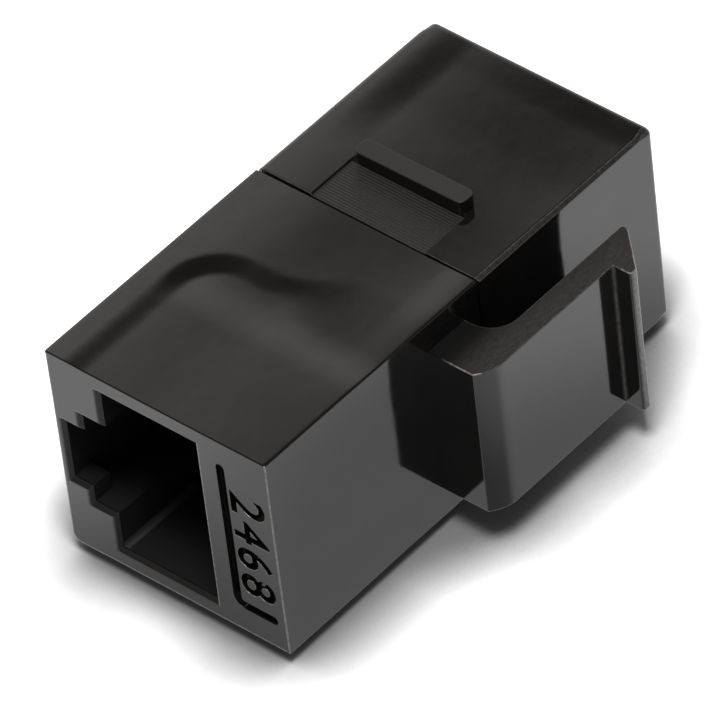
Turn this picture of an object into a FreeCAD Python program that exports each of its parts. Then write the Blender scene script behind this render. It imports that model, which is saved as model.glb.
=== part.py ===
"""Keystone coupler: two eight-way plug sockets back to back in a body that snaps into a panel cut-out.

Axes: +Y points out of the panel towards the user, +X is the spring-latch side, +Z is one flank.
The origin is the centre of the panel-side face, so the body lies at negative Y.
Depths into a socket are measured from its own face. Every socket part is made once, for the rear
end, and mirrored in the plane halfway along the body for the front end.
All lengths are in millimetres.
"""
import FreeCAD, Part
import math
import os

Vec = FreeCAD.Vector

# Body
body_width = 16.06          # X, across latch and lug
body_height = 14.50         # Z, flank to flank
body_length = 33.30         # Y, face to face
front_half_length = 15.15   # panel face to the seam between the halves
long_edge_radius = 0.50     # the four edges that run front to back
panel_edge_radius = 0.30    # the edges round the panel face
rear_edge_chamfer = 0.12    # the edges round the rear face
seam_edge_radius = 0.22     # the front half's edge at the seam
seam_gap = 0.08             # moulding gap between the halves

# Plug socket: a stepped opening with a lead-in round its mouth
plug_width = 11.90          # Z
plug_height = 6.95          # X
plug_depth = 12.30          # face to the shoulder that the contact block seats on
lead_in = 0.27              # 45 degree lead-in at the mouth
shoulder_notch_width = 6.66
shoulder_notch_depth = 1.70
tab_notch_width = 4.30
tab_notch_depth = 1.38
lug_side_wall = 0.72        # wall left behind the deepest notch
face_wall = 1.60            # wall at the mouth, which the plug's tab snaps behind
tab_pocket_depth = 8.50     # face to the end of the room for the plug's tab

# Room behind the socket for the contact block
room_side_wall = 1.43       # walls on the latch and lug sides
room_flank_wall = 0.90      # walls on the two flanks
comb_pocket_wall = 1.48     # wall outside the comb, on the latch side
comb_pocket_start = 1.90    # depth of the pocket's end behind the face
fit_gap = 0.08              # clearance of what drops into the housings

# Contact springs
contact_count = 8
contact_pitch = 1.02
wire_thickness = 0.30
wire_width = 0.42
wire_reach = 1.77           # how far the spring leg reaches into the plug's room
wire_nose_lead = 0.75       # how far the spring's nose stands in front of the comb
wire_nose_radius = 0.70
wire_nose_width = 1.50
wire_bend_radius = 0.45
wire_leg_gap = 1.90         # end of the spring leg to the block
wire_tail_gap = 0.80        # end of the tail to the block
wire_tail_rise = 0.40
wire_crank_start = 0.25     # inside the block's base the wire cranks over to its pin, between
wire_crank_end = 0.65       # these two shares of the base's thickness
row_spacing = 1.27          # contacts alternate between two rows of pins
front_row_shift = 3.85      # the front block's pins, from the rear block's
pin_stick_out = 0.30        # pin past the far side of the board

# Contact block: a base behind the plug and a comb beside it
comb_start = 4.60           # depth of its nose
comb_nose_radius = 0.50
comb_cheek = 1.03           # comb outside the outermost contacts' middles
comb_backing = 1.36         # comb behind the wires, on the latch side
comb_slot_width = 0.60
pin_relief_depth = 0.50     # pocket in the base over the other block's pin ends
pin_relief_margin = 0.45
peg_radius = 0.50
peg_length = 0.70
peg_inset_x = 1.40          # rear block's pegs, from the room's lug side
peg_inset_z = 2.05          # from the room's flanks
front_peg_shift = 1.80      # the front block's pegs, from the rear block's

# Circuit board
board_thickness = 1.00
board_side_gap = 0.25       # to the walls of its room, all round
pin_hole_radius = 0.33
peg_hole_gap = 0.05

# Snap tabs that hold the halves together, on the front half
tab_width = 10.00           # Z
tab_length = 2.35           # past the seam
tab_wall_gap = 0.04         # to the recess in the rear half
tab_skin = 0.68             # wall left outside the recess
snap_bead_radius = 0.20
snap_bead_back = 0.75       # bead to the tab's end

# Groove engraved in the rear face beside the socket
groove_width = 0.56
groove_depth = 0.35
groove_from_socket = 1.47   # its upright leg, from the mouth of the socket
groove_top_inset = 2.08     # from the body's edges to the ends of its middle line
groove_bottom_inset = 2.25
groove_side_inset = 0.88
groove_corner_radius = 0.50

# Stop ridge and grip recess, on both flanks of the front half
ridge_length = 7.95         # X
ridge_thickness = 1.27      # Y
ridge_height = 0.75
ridge_stop_depth = 10.42    # panel face to the side that meets the back of the panel frame
ridge_corner_radius = 0.25
ridge_top_chamfer = 0.12
grip_margin = 0.37          # the grip recess is wider than the ridge by this at each end
grip_recess = 0.12

# Spring latch
latch_width = 10.45         # Z
latch_root_setback = 1.37   # seam to the root's near side
latch_root_thickness = 3.20
latch_reach = 3.95          # body side to the arm's outer face
latch_arm_thickness = 1.65
latch_corner_flat = 0.75    # the root's outer corner, across and along
latch_corner_run = 1.85
latch_bend_radius = 1.75    # inside the root's bend
latch_stub = 1.15           # straight stretch of the root before the arm's rounded end
latch_knuckle_gap = 0.05    # running clearance round the arm's rounded end
latch_edge_radius = 0.10
catch_depth = 8.55          # panel face to the catch face, which rests on the panel's ledge
catch_height = 1.30         # lip above the arm's outer face
catch_land = 0.30           # flat on top of the lip
catch_fillet = 0.60
latch_end_depth = 5.70      # panel face to the arm's free end
latch_end_radius = 0.30

# Fixed lug opposite the latch
lug_height = 1.50
lug_width = 9.00            # Z
lug_land = 0.90             # flat on top of the lug
lug_ramp = 1.60             # slope towards the panel face
lug_edge_radius = 0.15

sunk = 0.35                 # how far an added feature is rooted in its wall
slop = 1.0                  # how far a cutting shape runs past the face that it opens

# Places worked out from the sizes above
half_width = body_width / 2
half_height = body_height / 2
rear_face_y = -body_length
mid_y = -body_length / 2
seam_y = -front_half_length
tab_notch_x = lug_side_wall - half_width
shoulder_notch_x = tab_notch_x + tab_notch_depth
plug_low_x = shoulder_notch_x + shoulder_notch_depth
plug_high_x = plug_low_x + plug_height
room_reach_x = half_width - room_side_wall
room_reach_z = half_height - room_flank_wall
comb_pocket_x = half_width - comb_pocket_wall
board_face_depth = (body_length - board_thickness) / 2
base_thickness = board_face_depth - plug_depth
comb_reach_z = (contact_count - 1) / 2 * contact_pitch + comb_cheek
wire_run_x = comb_pocket_x - fit_gap - comb_backing - wire_thickness / 2
wire_tip_x = plug_high_x - wire_reach
rear_row_x = wire_run_x
front_row_x = wire_run_x - front_row_shift
rear_peg_x = peg_inset_x - room_reach_x
front_peg_x = rear_peg_x + front_peg_shift
peg_z = room_reach_z - peg_inset_z
tab_outer_x = half_width - tab_skin - tab_wall_gap
snap_bead_y = seam_y - tab_length + snap_bead_back
latch_back_y = seam_y - seam_gap - latch_root_setback
latch_front_y = latch_back_y - latch_root_thickness
pivot_x = half_width + latch_reach - latch_arm_thickness / 2
pivot_y = latch_back_y + latch_bend_radius + latch_stub
knuckle_radius = latch_arm_thickness / 2


def block(xs, ys, zs):
    """Box between three pairs of limits."""
    low = Vec(min(xs), min(ys), min(zs))
    return Part.makeBox(abs(xs[1] - xs[0]), abs(ys[1] - ys[0]), abs(zs[1] - zs[0]), low)


def rear(depth):
    """Y of a depth measured from the rear face."""
    return rear_face_y + depth


def mirrored(shape):
    """The same shape at the other end of the body."""
    return shape.mirror(Vec(0, mid_y, 0), Vec(0, 1, 0))


def edges_where(shape, wanted):
    """Every edge whose middle satisfies wanted(point, direction)."""
    chosen = []
    for edge in shape.Edges:
        halfway = (edge.FirstParameter + edge.LastParameter) / 2
        if wanted(edge.valueAt(halfway), edge.tangentAt(halfway)):
            chosen.append(edge)
    return chosen


def fillet_where(shape, radius, wanted):
    """Round the edges that edges_where finds."""
    return shape.makeFillet(radius, edges_where(shape, wanted))


def near(a, b):
    return abs(a - b) < 1e-4


def extrude_z(edges, width):
    """Close edges in an XY plane into a face and extrude it along Z, centred on Z = 0."""
    wire = Part.Wire(Part.__sortEdges__(edges))
    face = Part.Face(wire)
    face.translate(Vec(0, 0, -width / 2 - wire.Vertexes[0].Z))
    return face.extrude(Vec(0, 0, width))


def rounded_outline(points, radii):
    """Edges of a closed outline in the XY plane, with each corner rounded by its own radius."""
    count = len(points)
    starts, ends, arcs = [], [], []
    for i, corner in enumerate(points):
        into = (points[i - 1] - corner).normalize()
        out = (points[(i + 1) % count] - corner).normalize()
        half_angle = into.getAngle(out) / 2
        if radii[i] <= 0:
            starts.append(corner)
            ends.append(corner)
            arcs.append(None)
            continue
        back = radii[i] / math.tan(half_angle)
        bisector = (into + out).normalize()
        middle = corner + bisector * (radii[i] / math.sin(half_angle) - radii[i])
        starts.append(corner + into * back)
        ends.append(corner + out * back)
        arcs.append(Part.Arc(starts[i], middle, ends[i]).toShape())
    edges = []
    for i in range(count):
        if arcs[i]:
            edges.append(arcs[i])
        if ends[i].distanceToPoint(starts[(i + 1) % count]) > 1e-6:
            edges.append(Part.LineSegment(ends[i], starts[(i + 1) % count]).toShape())
    return edges


# ---- Housings ----

def socket_outline(y, grow):
    """The plug opening's stepped outline at one Y, grown outwards on every side."""
    half_plug = plug_width / 2 + grow
    half_shoulder = shoulder_notch_width / 2 + grow
    half_tab = tab_notch_width / 2 + grow
    right = plug_high_x + grow
    steps = [
        (plug_low_x - grow, half_plug),
        (plug_low_x - grow, half_shoulder),
        (shoulder_notch_x - grow, half_shoulder),
        (shoulder_notch_x - grow, half_tab),
        (tab_notch_x - grow, half_tab),
    ]
    upper = [(right, half_plug)] + steps
    lower = [(x, -z) for x, z in reversed(upper)]
    points = [Vec(x, y, z) for x, z in upper + lower]
    return Part.makePolygon(points + points[:1])


def socket_cavity():
    """Everything cut out of a half for its plug and contact block, at the rear end."""
    mouth = Part.makeLoft([socket_outline(rear(0), lead_in), socket_outline(rear(lead_in), 0)], True, True)
    mouth_start = Part.Face(socket_outline(rear(0), lead_in)).extrude(Vec(0, -slop, 0))
    opening = Part.Face(socket_outline(rear(0), 0)).extrude(Vec(0, tab_pocket_depth, 0))
    half_plug = plug_width / 2
    half_shoulder = shoulder_notch_width / 2
    plug_room = block((plug_low_x, plug_high_x), (rear(0), rear(plug_depth)), (-half_plug, half_plug))
    tab_room = block((tab_notch_x, plug_low_x), (rear(face_wall), rear(tab_pocket_depth)),
                     (-half_shoulder, half_shoulder))
    half_comb = comb_reach_z + fit_gap
    comb_room = block((plug_high_x - slop, comb_pocket_x), (rear(comb_pocket_start), rear(plug_depth)),
                      (-half_comb, half_comb))
    past_seam_y = max(seam_y, 2 * mid_y - seam_y) + slop
    block_room = block((-room_reach_x, room_reach_x), (rear(plug_depth), past_seam_y),
                       (-room_reach_z, room_reach_z))
    return mouth.multiFuse([mouth_start, opening, plug_room, tab_room, comb_room, block_room])


def groove_cutter():
    """The L-shaped groove in the rear face: two straight legs, a rounded corner and round ends."""
    half = groove_width / 2
    corner = Vec(plug_high_x + lead_in + groove_from_socket, groove_bottom_inset - half_height, 0)
    top = Vec(corner.x, half_height - groove_top_inset, 0)
    end = Vec(half_width - groove_side_inset, corner.y, 0)
    outer, inner = groove_corner_radius + half, groove_corner_radius - half
    centre = corner + Vec(groove_corner_radius, groove_corner_radius, 0)
    diagonal = Vec(-1, -1, 0).normalize()
    edges = [
        Part.Arc(top + Vec(half, 0, 0), top + Vec(0, half, 0), top - Vec(half, 0, 0)),
        Part.LineSegment(top - Vec(half, 0, 0), centre - Vec(outer, 0, 0)),
        Part.Arc(centre - Vec(outer, 0, 0), centre + diagonal * outer, centre - Vec(0, outer, 0)),
        Part.LineSegment(centre - Vec(0, outer, 0), end - Vec(0, half, 0)),
        Part.Arc(end - Vec(0, half, 0), end + Vec(half, 0, 0), end + Vec(0, half, 0)),
        Part.LineSegment(end + Vec(0, half, 0), centre - Vec(0, inner, 0)),
        Part.Arc(centre - Vec(0, inner, 0), centre + diagonal * inner, centre - Vec(inner, 0, 0)),
        Part.LineSegment(centre - Vec(inner, 0, 0), top + Vec(half, 0, 0)),
    ]
    face = Part.Face(Part.Wire(Part.__sortEdges__([edge.toShape() for edge in edges])))
    face.rotate(Vec(0, 0, 0), Vec(1, 0, 0), 90)
    face.translate(Vec(0, rear(0) - slop, 0))
    return face.extrude(Vec(0, slop + groove_depth, 0))


def tab_recess(side):
    """Recess in the rear half for one snap tab, with the groove that its bead drops into."""
    outer = side * (tab_outer_x + tab_wall_gap)
    inner = side * (room_reach_x - slop)
    half = tab_width / 2 + tab_wall_gap
    recess = block((inner, outer), (seam_y + slop, seam_y - tab_length - tab_wall_gap), (-half, half))
    bead = Part.makeCylinder(snap_bead_radius + tab_wall_gap, 2 * half,
                             Vec(side * tab_outer_x, snap_bead_y, -half), Vec(0, 0, 1))
    return recess.fuse(bead)


def snap_tab(side):
    """One snap tab on the front half, with its bead."""
    outer = side * tab_outer_x
    inner = side * (room_reach_x + tab_wall_gap)
    half = tab_width / 2
    tab = block((inner, outer), (seam_y + sunk, seam_y - tab_length), (-half, half))
    bead = Part.makeCylinder(snap_bead_radius, tab_width, Vec(outer, snap_bead_y, -half), Vec(0, 0, 1))
    return tab.fuse(bead)


def latch_root():
    """The fixed part of the latch: a block on the body's side that turns towards the panel."""
    out = half_width + latch_reach
    inside = out - latch_arm_thickness
    foot_x = half_width - sunk
    corner_radius = (latch_corner_flat ** 2 + latch_corner_run ** 2) / (2 * latch_corner_flat)
    corner_centre = Vec(out - corner_radius, latch_front_y + latch_corner_run, 0)
    half_turn = math.atan2(latch_corner_run, corner_radius - latch_corner_flat) / 2
    corner_middle = corner_centre + Vec(math.cos(half_turn), -math.sin(half_turn), 0) * corner_radius
    bend_centre = Vec(inside - latch_bend_radius, latch_back_y + latch_bend_radius, 0)
    bend_middle = bend_centre + Vec(1, -1, 0).normalize() * latch_bend_radius
    foot = Vec(foot_x, latch_front_y, 0)
    flat_end = Vec(out - latch_corner_flat, latch_front_y, 0)
    corner_end = Vec(out, corner_centre.y, 0)
    arm_out = Vec(out, pivot_y, 0)
    arm_in = Vec(inside, pivot_y, 0)
    bend_end = Vec(inside, bend_centre.y, 0)
    bend_start = Vec(bend_centre.x, latch_back_y, 0)
    heel = Vec(foot_x, latch_back_y, 0)
    edges = [
        Part.LineSegment(foot, flat_end),
        Part.Arc(flat_end, corner_middle, corner_end),
        Part.LineSegment(corner_end, arm_out),
        Part.LineSegment(arm_out, arm_in),
        Part.LineSegment(arm_in, bend_end),
        Part.Arc(bend_end, bend_middle, bend_start),
        Part.LineSegment(bend_start, heel),
        Part.LineSegment(heel, foot),
    ]
    root = extrude_z([edge.toShape() for edge in edges], latch_width)
    seat = Part.makeCylinder(knuckle_radius + latch_knuckle_gap, latch_width + 2 * slop,
                             Vec(pivot_x, pivot_y, -latch_width / 2 - slop), Vec(0, 0, 1))
    return root.cut(seat)


def rear_housing():
    """The half behind the panel: rear socket, engraved groove and the latch's root."""
    body = block((-half_width, half_width), (rear_face_y, seam_y - seam_gap), (-half_height, half_height))
    body = fillet_where(body, long_edge_radius, lambda p, d: near(abs(d.y), 1))
    body = body.makeChamfer(rear_edge_chamfer, edges_where(body, lambda p, d: near(p.y, rear_face_y)))
    body = body.fuse(latch_root())
    return body.cut(Part.makeCompound([socket_cavity(), tab_recess(1), tab_recess(-1), groove_cutter()]))


def stop_ridge(side):
    """The bar on one flank that stops against the back of the panel frame."""
    foot = side * (half_height - grip_recess - sunk)
    top = side * (half_height + ridge_height)
    bar = block((-ridge_length / 2, ridge_length / 2),
                (-ridge_stop_depth - ridge_thickness, -ridge_stop_depth), (foot, top))
    bar = fillet_where(bar, ridge_corner_radius, lambda p, d: near(abs(d.z), 1))
    return bar.makeChamfer(ridge_top_chamfer, edges_where(bar, lambda p, d: near(p.z, top)))


def grip_cutter(side):
    """The shallow recess for a fingertip between the seam and one ridge."""
    floor = side * (half_height - grip_recess)
    reach = ridge_length / 2 + grip_margin
    return block((-reach, reach), (seam_y - slop, -ridge_stop_depth - ridge_thickness / 2),
                 (floor, side * (half_height + slop)))


def fixed_lug():
    """The rigid catch opposite the latch: a steep side away from the panel and a ramp towards it."""
    top = -half_width - lug_height
    foot = sunk - half_width
    land_y = lug_land - catch_depth
    points = [
        Vec(foot, -catch_depth, 0),
        Vec(top, -catch_depth, 0),
        Vec(top, land_y, 0),
        Vec(-half_width, land_y + lug_ramp, 0),
        Vec(foot, land_y + lug_ramp, 0),
    ]
    return extrude_z(rounded_outline(points, [0, lug_edge_radius, lug_edge_radius, 0, 0]), lug_width)


def front_housing():
    """The half in the panel: front socket, stop ridges, grip recesses, fixed lug and snap tabs."""
    body = block((-half_width, half_width), (seam_y, 0), (-half_height, half_height))
    body = fillet_where(body, long_edge_radius, lambda p, d: near(abs(d.y), 1))
    body = fillet_where(body, panel_edge_radius, lambda p, d: near(p.y, 0))
    body = fillet_where(body, seam_edge_radius, lambda p, d: near(p.y, seam_y))
    body = body.cut(Part.makeCompound([grip_cutter(1), grip_cutter(-1)]))
    body = body.multiFuse([stop_ridge(1), stop_ridge(-1), fixed_lug(), snap_tab(1), snap_tab(-1)])
    return body.cut(mirrored(socket_cavity()))


# ---- Latch arm ----

def latch_arm():
    """The springing part of the latch: rounded end, arm, catch lip and insertion ramp."""
    out = half_width + latch_reach
    inside = out - latch_arm_thickness
    lip = out + catch_height
    ramp_start_y = catch_land - catch_depth
    ramp_end_x = lip + latch_end_depth + ramp_start_y
    points = [
        Vec(inside, pivot_y, 0),
        Vec(out, pivot_y, 0),
        Vec(out, -catch_depth, 0),
        Vec(lip, -catch_depth, 0),
        Vec(lip, ramp_start_y, 0),
        Vec(ramp_end_x, -latch_end_depth, 0),
        Vec(inside, -latch_end_depth, 0),
    ]
    radii = [0, 0, catch_fillet, latch_edge_radius, latch_edge_radius, latch_end_radius, latch_edge_radius]
    arm = extrude_z(rounded_outline(points, radii), latch_width)
    knuckle = Part.makeCylinder(knuckle_radius, latch_width,
                                Vec(pivot_x, pivot_y, -latch_width / 2), Vec(0, 0, 1))
    return arm.fuse(knuckle).removeSplitter()


# ---- Contacts, contact blocks and board ----

def wire_ribbon(points, radii):
    """A flat wire along a path in the XY plane, with each corner bent to its own middle radius."""
    half = wire_thickness / 2
    left, right, left_radii, right_radii = [], [], [], []
    for i, point in enumerate(points):
        behind = max(i, 1)
        into = (points[behind] - points[behind - 1]).normalize()
        out = (points[i + 1] - point).normalize() if i + 1 < len(points) else into
        normal_in = Vec(-into.y, into.x, 0)
        normal_out = Vec(-out.y, out.x, 0)
        mitre = (normal_in + normal_out) * (half / (1 + normal_in.dot(normal_out)))
        outside = half if into.cross(out).z > 0 else -half
        left.append(point + mitre)
        right.append(point - mitre)
        left_radii.append(radii[i] - outside if radii[i] else 0)
        right_radii.append(radii[i] + outside if radii[i] else 0)
    return extrude_z(rounded_outline(left + right[::-1], left_radii + right_radii[::-1]), wire_width)


def slot_z(slot):
    """Z of one of the comb's slots: slot 1 is nearest the +Z flank."""
    return ((contact_count + 1) / 2 - slot) * contact_pitch


def pin_x(slot, row_x):
    """Odd slots use the pin row nearer the latch side, even slots the other."""
    step = row_spacing / 2
    return row_x + step if slot % 2 else row_x - step


def spring(slot, row_x):
    """One contact: pin through the board, run along the comb, nose, spring leg and guided tail."""
    x = pin_x(slot, row_x)
    nose_depth = comb_start - wire_nose_lead
    path = [
        Vec(x, rear(board_face_depth + board_thickness + pin_stick_out), 0),
        Vec(x, rear(plug_depth + wire_crank_end * base_thickness), 0),
        Vec(wire_run_x, rear(plug_depth + wire_crank_start * base_thickness), 0),
        Vec(wire_run_x, rear(nose_depth), 0),
        Vec(wire_run_x - wire_nose_width, rear(nose_depth), 0),
        Vec(wire_tip_x, rear(plug_depth - wire_leg_gap), 0),
        Vec(wire_tip_x + wire_tail_rise, rear(plug_depth - wire_tail_gap), 0),
    ]
    wire = wire_ribbon(path, [0, 0, 0, wire_nose_radius, wire_nose_radius, wire_bend_radius, 0])
    wire.translate(Vec(0, 0, slot_z(slot)))
    return wire


def pegs(x, radius, start_depth, end_depth):
    """Two pegs on the board's face, or with a larger radius the holes for them."""
    length = end_depth - start_depth
    return [
        Part.makeCylinder(radius, length, Vec(x, rear(start_depth), side * peg_z), Vec(0, 1, 0))
        for side in (1, -1)
    ]


def contact_block(other_row_x, peg_x, springs):
    """Insulator moulded round eight springs: base, comb with a slot for each spring, and pegs."""
    reach_x = room_reach_x - fit_gap
    reach_z = room_reach_z - fit_gap
    base = block((-reach_x, reach_x), (rear(plug_depth), rear(board_face_depth)), (-reach_z, reach_z))
    nose_y = rear(comb_start)
    comb = block((plug_high_x + fit_gap, comb_pocket_x - fit_gap), (nose_y, rear(plug_depth)),
                 (-comb_reach_z, comb_reach_z))
    comb = fillet_where(comb, comb_nose_radius, lambda p, d: near(p.y, nose_y) and near(abs(d.z), 1))
    slot_floor = wire_run_x + wire_thickness / 2
    half_slot = comb_slot_width / 2
    cuts = [
        block((plug_high_x - slop, slot_floor), (nose_y - slop, rear(plug_depth)),
              (slot_z(slot) - half_slot, slot_z(slot) + half_slot))
        for slot in range(1, contact_count + 1)
    ]
    relief_x = row_spacing / 2 + pin_relief_margin
    relief_z = slot_z(1) + pin_relief_margin
    cuts.append(block((other_row_x - relief_x, other_row_x + relief_x),
                      (rear(board_face_depth - pin_relief_depth), rear(board_face_depth + slop)),
                      (-relief_z, relief_z)))
    own_pegs = pegs(peg_x, peg_radius, board_face_depth - sunk, board_face_depth + peg_length)
    return base.multiFuse([comb] + own_pegs).cut(Part.makeCompound(cuts)).cut(Part.makeCompound(springs))


def circuit_board():
    """The board between the two blocks, with a hole for every pin and peg."""
    reach_x = room_reach_x - board_side_gap
    reach_z = room_reach_z - board_side_gap
    far_depth = board_face_depth + board_thickness
    board = block((-reach_x, reach_x), (rear(board_face_depth), rear(far_depth)), (-reach_z, reach_z))
    holes = []
    for row_x in (rear_row_x, front_row_x):
        for slot in range(1, contact_count + 1):
            start = Vec(pin_x(slot, row_x), rear(board_face_depth - slop), slot_z(slot))
            holes.append(Part.makeCylinder(pin_hole_radius, board_thickness + 2 * slop, start, Vec(0, 1, 0)))
    for peg_x in (rear_peg_x, front_peg_x):
        holes += pegs(peg_x, peg_radius + peg_hole_gap, board_face_depth - slop, far_depth + slop)
    return board.cut(Part.makeCompound(holes))


def build():
    """Every piece of the coupler by name."""
    slots = range(1, contact_count + 1)
    rear_springs = [spring(slot, rear_row_x) for slot in slots]
    front_springs = [spring(slot, front_row_x) for slot in slots]
    parts = {
        "rear_housing": rear_housing(),
        "front_housing": front_housing(),
        "latch_arm": latch_arm(),
        "circuit_board": circuit_board(),
        "rear_contact_block": contact_block(front_row_x, rear_peg_x, rear_springs),
        "front_contact_block": mirrored(contact_block(rear_row_x, front_peg_x, front_springs)),
    }
    # Seen from its own mouth each socket counts the same way, so the front count starts at the last slot.
    for slot in slots:
        parts["rear_contact_%d" % slot] = rear_springs[slot - 1]
        parts["front_contact_%d" % (contact_count + 1 - slot)] = mirrored(front_springs[slot - 1])
    return parts


os.makedirs("parts", exist_ok=True)
for name, shape in build().items():
    shape.exportStep("parts/%s.step" % name)
    box = shape.BoundBox
    print("%-20s solids %d valid %s volume %8.3f  x %6.2f %6.2f  y %6.2f %6.2f  z %6.2f %6.2f" % (
        name, len(shape.Solids), shape.isValid(), shape.Volume,
        box.XMin, box.XMax, box.YMin, box.YMax, box.ZMin, box.ZMax))
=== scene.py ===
"""Finished surfaces for the keystone coupler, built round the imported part.

The two moulded halves, the spring latch and the sixteen spring wires are made again as welded
surfaces with softened edges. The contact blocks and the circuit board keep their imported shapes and
get finishes. Everything is in metres, in the part's own frame: +Y out of the panel, +X towards the
latch, +Z towards the flank that faces up.
"""
import math

import bmesh
import bpy
import numpy as np
from bpy.props import FloatProperty, FloatVectorProperty, PointerProperty
from mathutils import Matrix, Vector, geometry


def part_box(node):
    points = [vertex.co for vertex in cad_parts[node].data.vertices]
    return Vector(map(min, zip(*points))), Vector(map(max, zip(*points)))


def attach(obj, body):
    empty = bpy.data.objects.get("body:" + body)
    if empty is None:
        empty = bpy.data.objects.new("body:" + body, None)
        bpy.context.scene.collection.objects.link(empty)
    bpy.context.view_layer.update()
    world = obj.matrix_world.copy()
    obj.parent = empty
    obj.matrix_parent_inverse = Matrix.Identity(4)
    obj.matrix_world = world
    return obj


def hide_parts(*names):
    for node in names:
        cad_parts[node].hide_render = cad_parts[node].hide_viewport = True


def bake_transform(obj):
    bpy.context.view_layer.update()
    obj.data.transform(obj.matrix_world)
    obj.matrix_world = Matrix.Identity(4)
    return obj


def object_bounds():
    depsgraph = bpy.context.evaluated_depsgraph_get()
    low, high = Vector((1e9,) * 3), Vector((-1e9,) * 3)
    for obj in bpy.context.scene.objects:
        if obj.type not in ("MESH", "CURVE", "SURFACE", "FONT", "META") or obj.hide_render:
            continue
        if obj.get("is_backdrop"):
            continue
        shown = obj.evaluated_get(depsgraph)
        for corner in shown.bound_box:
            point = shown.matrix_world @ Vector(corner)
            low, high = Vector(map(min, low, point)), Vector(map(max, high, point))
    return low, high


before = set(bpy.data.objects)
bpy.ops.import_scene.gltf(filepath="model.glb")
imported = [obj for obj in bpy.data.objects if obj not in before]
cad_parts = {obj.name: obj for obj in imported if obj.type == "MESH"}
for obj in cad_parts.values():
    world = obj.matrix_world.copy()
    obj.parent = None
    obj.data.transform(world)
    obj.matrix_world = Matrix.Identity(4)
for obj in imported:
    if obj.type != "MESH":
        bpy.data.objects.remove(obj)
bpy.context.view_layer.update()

bl_info = {
    "name": "Keystone coupler finish",
    "version": (1, 0, 0),
    "blender": (4, 5, 0),
    "location": "View3D > Sidebar > Coupler",
    "description": "Softened mouldings, spring wires and finishes for a keystone coupler",
    "category": "Object",
}

MM = 0.001
WELD = 2e-7                 # points nearer than this are one point
EPS = 1e-6                  # planes nearer than this are one plane
GUARD = 0.02 * MM           # a narrow row that keeps a rounding's shading off the wall beside it

HOUSING_BODY = "housing"

rear_low, rear_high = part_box("rear_housing")
front_low, front_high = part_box("front_housing")
arm_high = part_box("latch_arm")[1]
HALF_WIDTH, HALF_HEIGHT = -rear_low.x, rear_high.z
REAR_Y, PANEL_Y = rear_low.y, front_high.y

# Which of a half's finishes a face takes, see housing_finishes; the latch has GLOSS and PARTING
GLOSS, INSIDE, GRIP, CORNER_HIGHLIGHT = range(4)
PARTING = 1


# ---- Settings ----

def length(label, text, value):
    """A size in millimetres as a length property."""
    return FloatProperty(name=label, description=text, default=value * MM, min=0.0, unit="LENGTH")


def colour(label, text, value):
    """A linear colour property."""
    return FloatVectorProperty(name=label, description=text, default=value, size=3,
                               min=0.0, max=1.0, subtype="COLOR")


class CouplerMoulding(bpy.types.PropertyGroup):
    rear_long_edge: length("Rear half's long edges", "Radius of its edges that run front to back", 0.15)
    front_long_edge: length("Front half's long edges", "Radius of its edges that run front to back", 0.36)
    under_edge: length("Under edge", "Radius of the long edge under the side without the latch", 0.70)
    panel_edge: length("Panel edges", "Radius round the panel face", 0.34)
    panel_corner: length("Panel corners", "Radius of the panel face's corners", 0.58)
    rear_edge: length("Rear edges", "Radius round the rear face, on the lower and the lug side", 0.24)
    front_seam_edge: length("Front seam edge", "Radius of the front half's edge at the seam", 0.07)
    shadow_gap: length("Shadow gap", "Width of the step that the rear half has at the seam", 0.17)
    shadow_depth: length("Shadow gap depth", "Depth of that step", 0.35)
    front_length: length("Front half", "Panel face to the seam between the halves", 15.15)
    seam_gap: length("Seam gap", "Gap between the halves", 0.08)
    lead_in: length("Lead-in", "Chamfer round the mouth of a socket", 0.27)
    mouth_edge: length("Mouth edge", "Radius where the lead-in meets the face", 0.24)
    crisp: length("Crisp edge", "Radius of edges that look sharp", 0.05)
    socket_fillet: length("Socket fillet", "Radius along the lower corners inside a socket", 0.34)
    groove_width: length("Groove width", "Width of the engraved groove", 0.60)
    groove_depth: length("Groove depth", "Depth of the engraved groove", 0.60)
    numeral_height: length("Numeral height", "Height of the engraved contact numbers", 2.40)
    numeral_depth: length("Numeral depth", "Depth of the engraved contact numbers", 0.46)
    contact_pitch: length("Contact pitch", "Spacing of the contacts and of their numbers", 1.02)
    rib_pitch: length("Rib pitch", "Spacing of the grip ribs", 0.205)
    rib_height: length("Rib height", "Height of the grip ribs", 0.034)
    grip_depth: length("Grip recess", "Depth of the recess that holds the grip ribs", 0.12)
    sink_depth: length("Sink marks", "Scale of the shallow waves that moulding leaves in the walls", 1.0)


class CouplerLatch(bpy.types.PropertyGroup):
    reach: length("Reach", "Body side to the arm's outer face", 3.95)
    thickness: length("Arm thickness", "Thickness of the spring arm", 1.65)
    root_thickness: length("Root thickness", "Thickness of the root, front to back", 3.20)
    root_setback: length("Root setback", "Seam to the near side of the root", 1.37)
    catch_depth: length("Catch depth", "Panel face to the catch", 8.55)
    edge: length("Parting edge", "Radius of the latch's edges at its parting face", 0.08)


class CouplerFinish(bpy.types.PropertyGroup):
    black: colour("Moulded black", "Colour of the glossy housings", (0.0046, 0.0043, 0.0041))
    inside: colour("Inside black", "Colour of the matt walls inside the sockets", (0.0080, 0.0080, 0.0080))
    # Painted highlight: paler than the inside walls, so the socket corner fillets read as a lit line
    corner: colour("Corner black", "Colour of the corners inside the sockets", (0.017, 0.017, 0.017))
    satin: colour("Insulator black", "Colour of the contact blocks", (0.020, 0.020, 0.021))
    gold: colour("Contact gold", "Colour of the plated springs", (0.94, 0.70, 0.33))
    board: colour("Board green", "Colour of the solder mask", (0.012, 0.110, 0.045))
    floor: colour("Floor", "Colour of the surface underneath", (0.80, 0.80, 0.80))


# ---- Welded surfaces ----

SHARP = 38.0                # degrees between faces above which an edge stays sharp
FLAT_WEIGHT = 1e6           # how much more a flat cap counts in the shading than other faces


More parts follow.
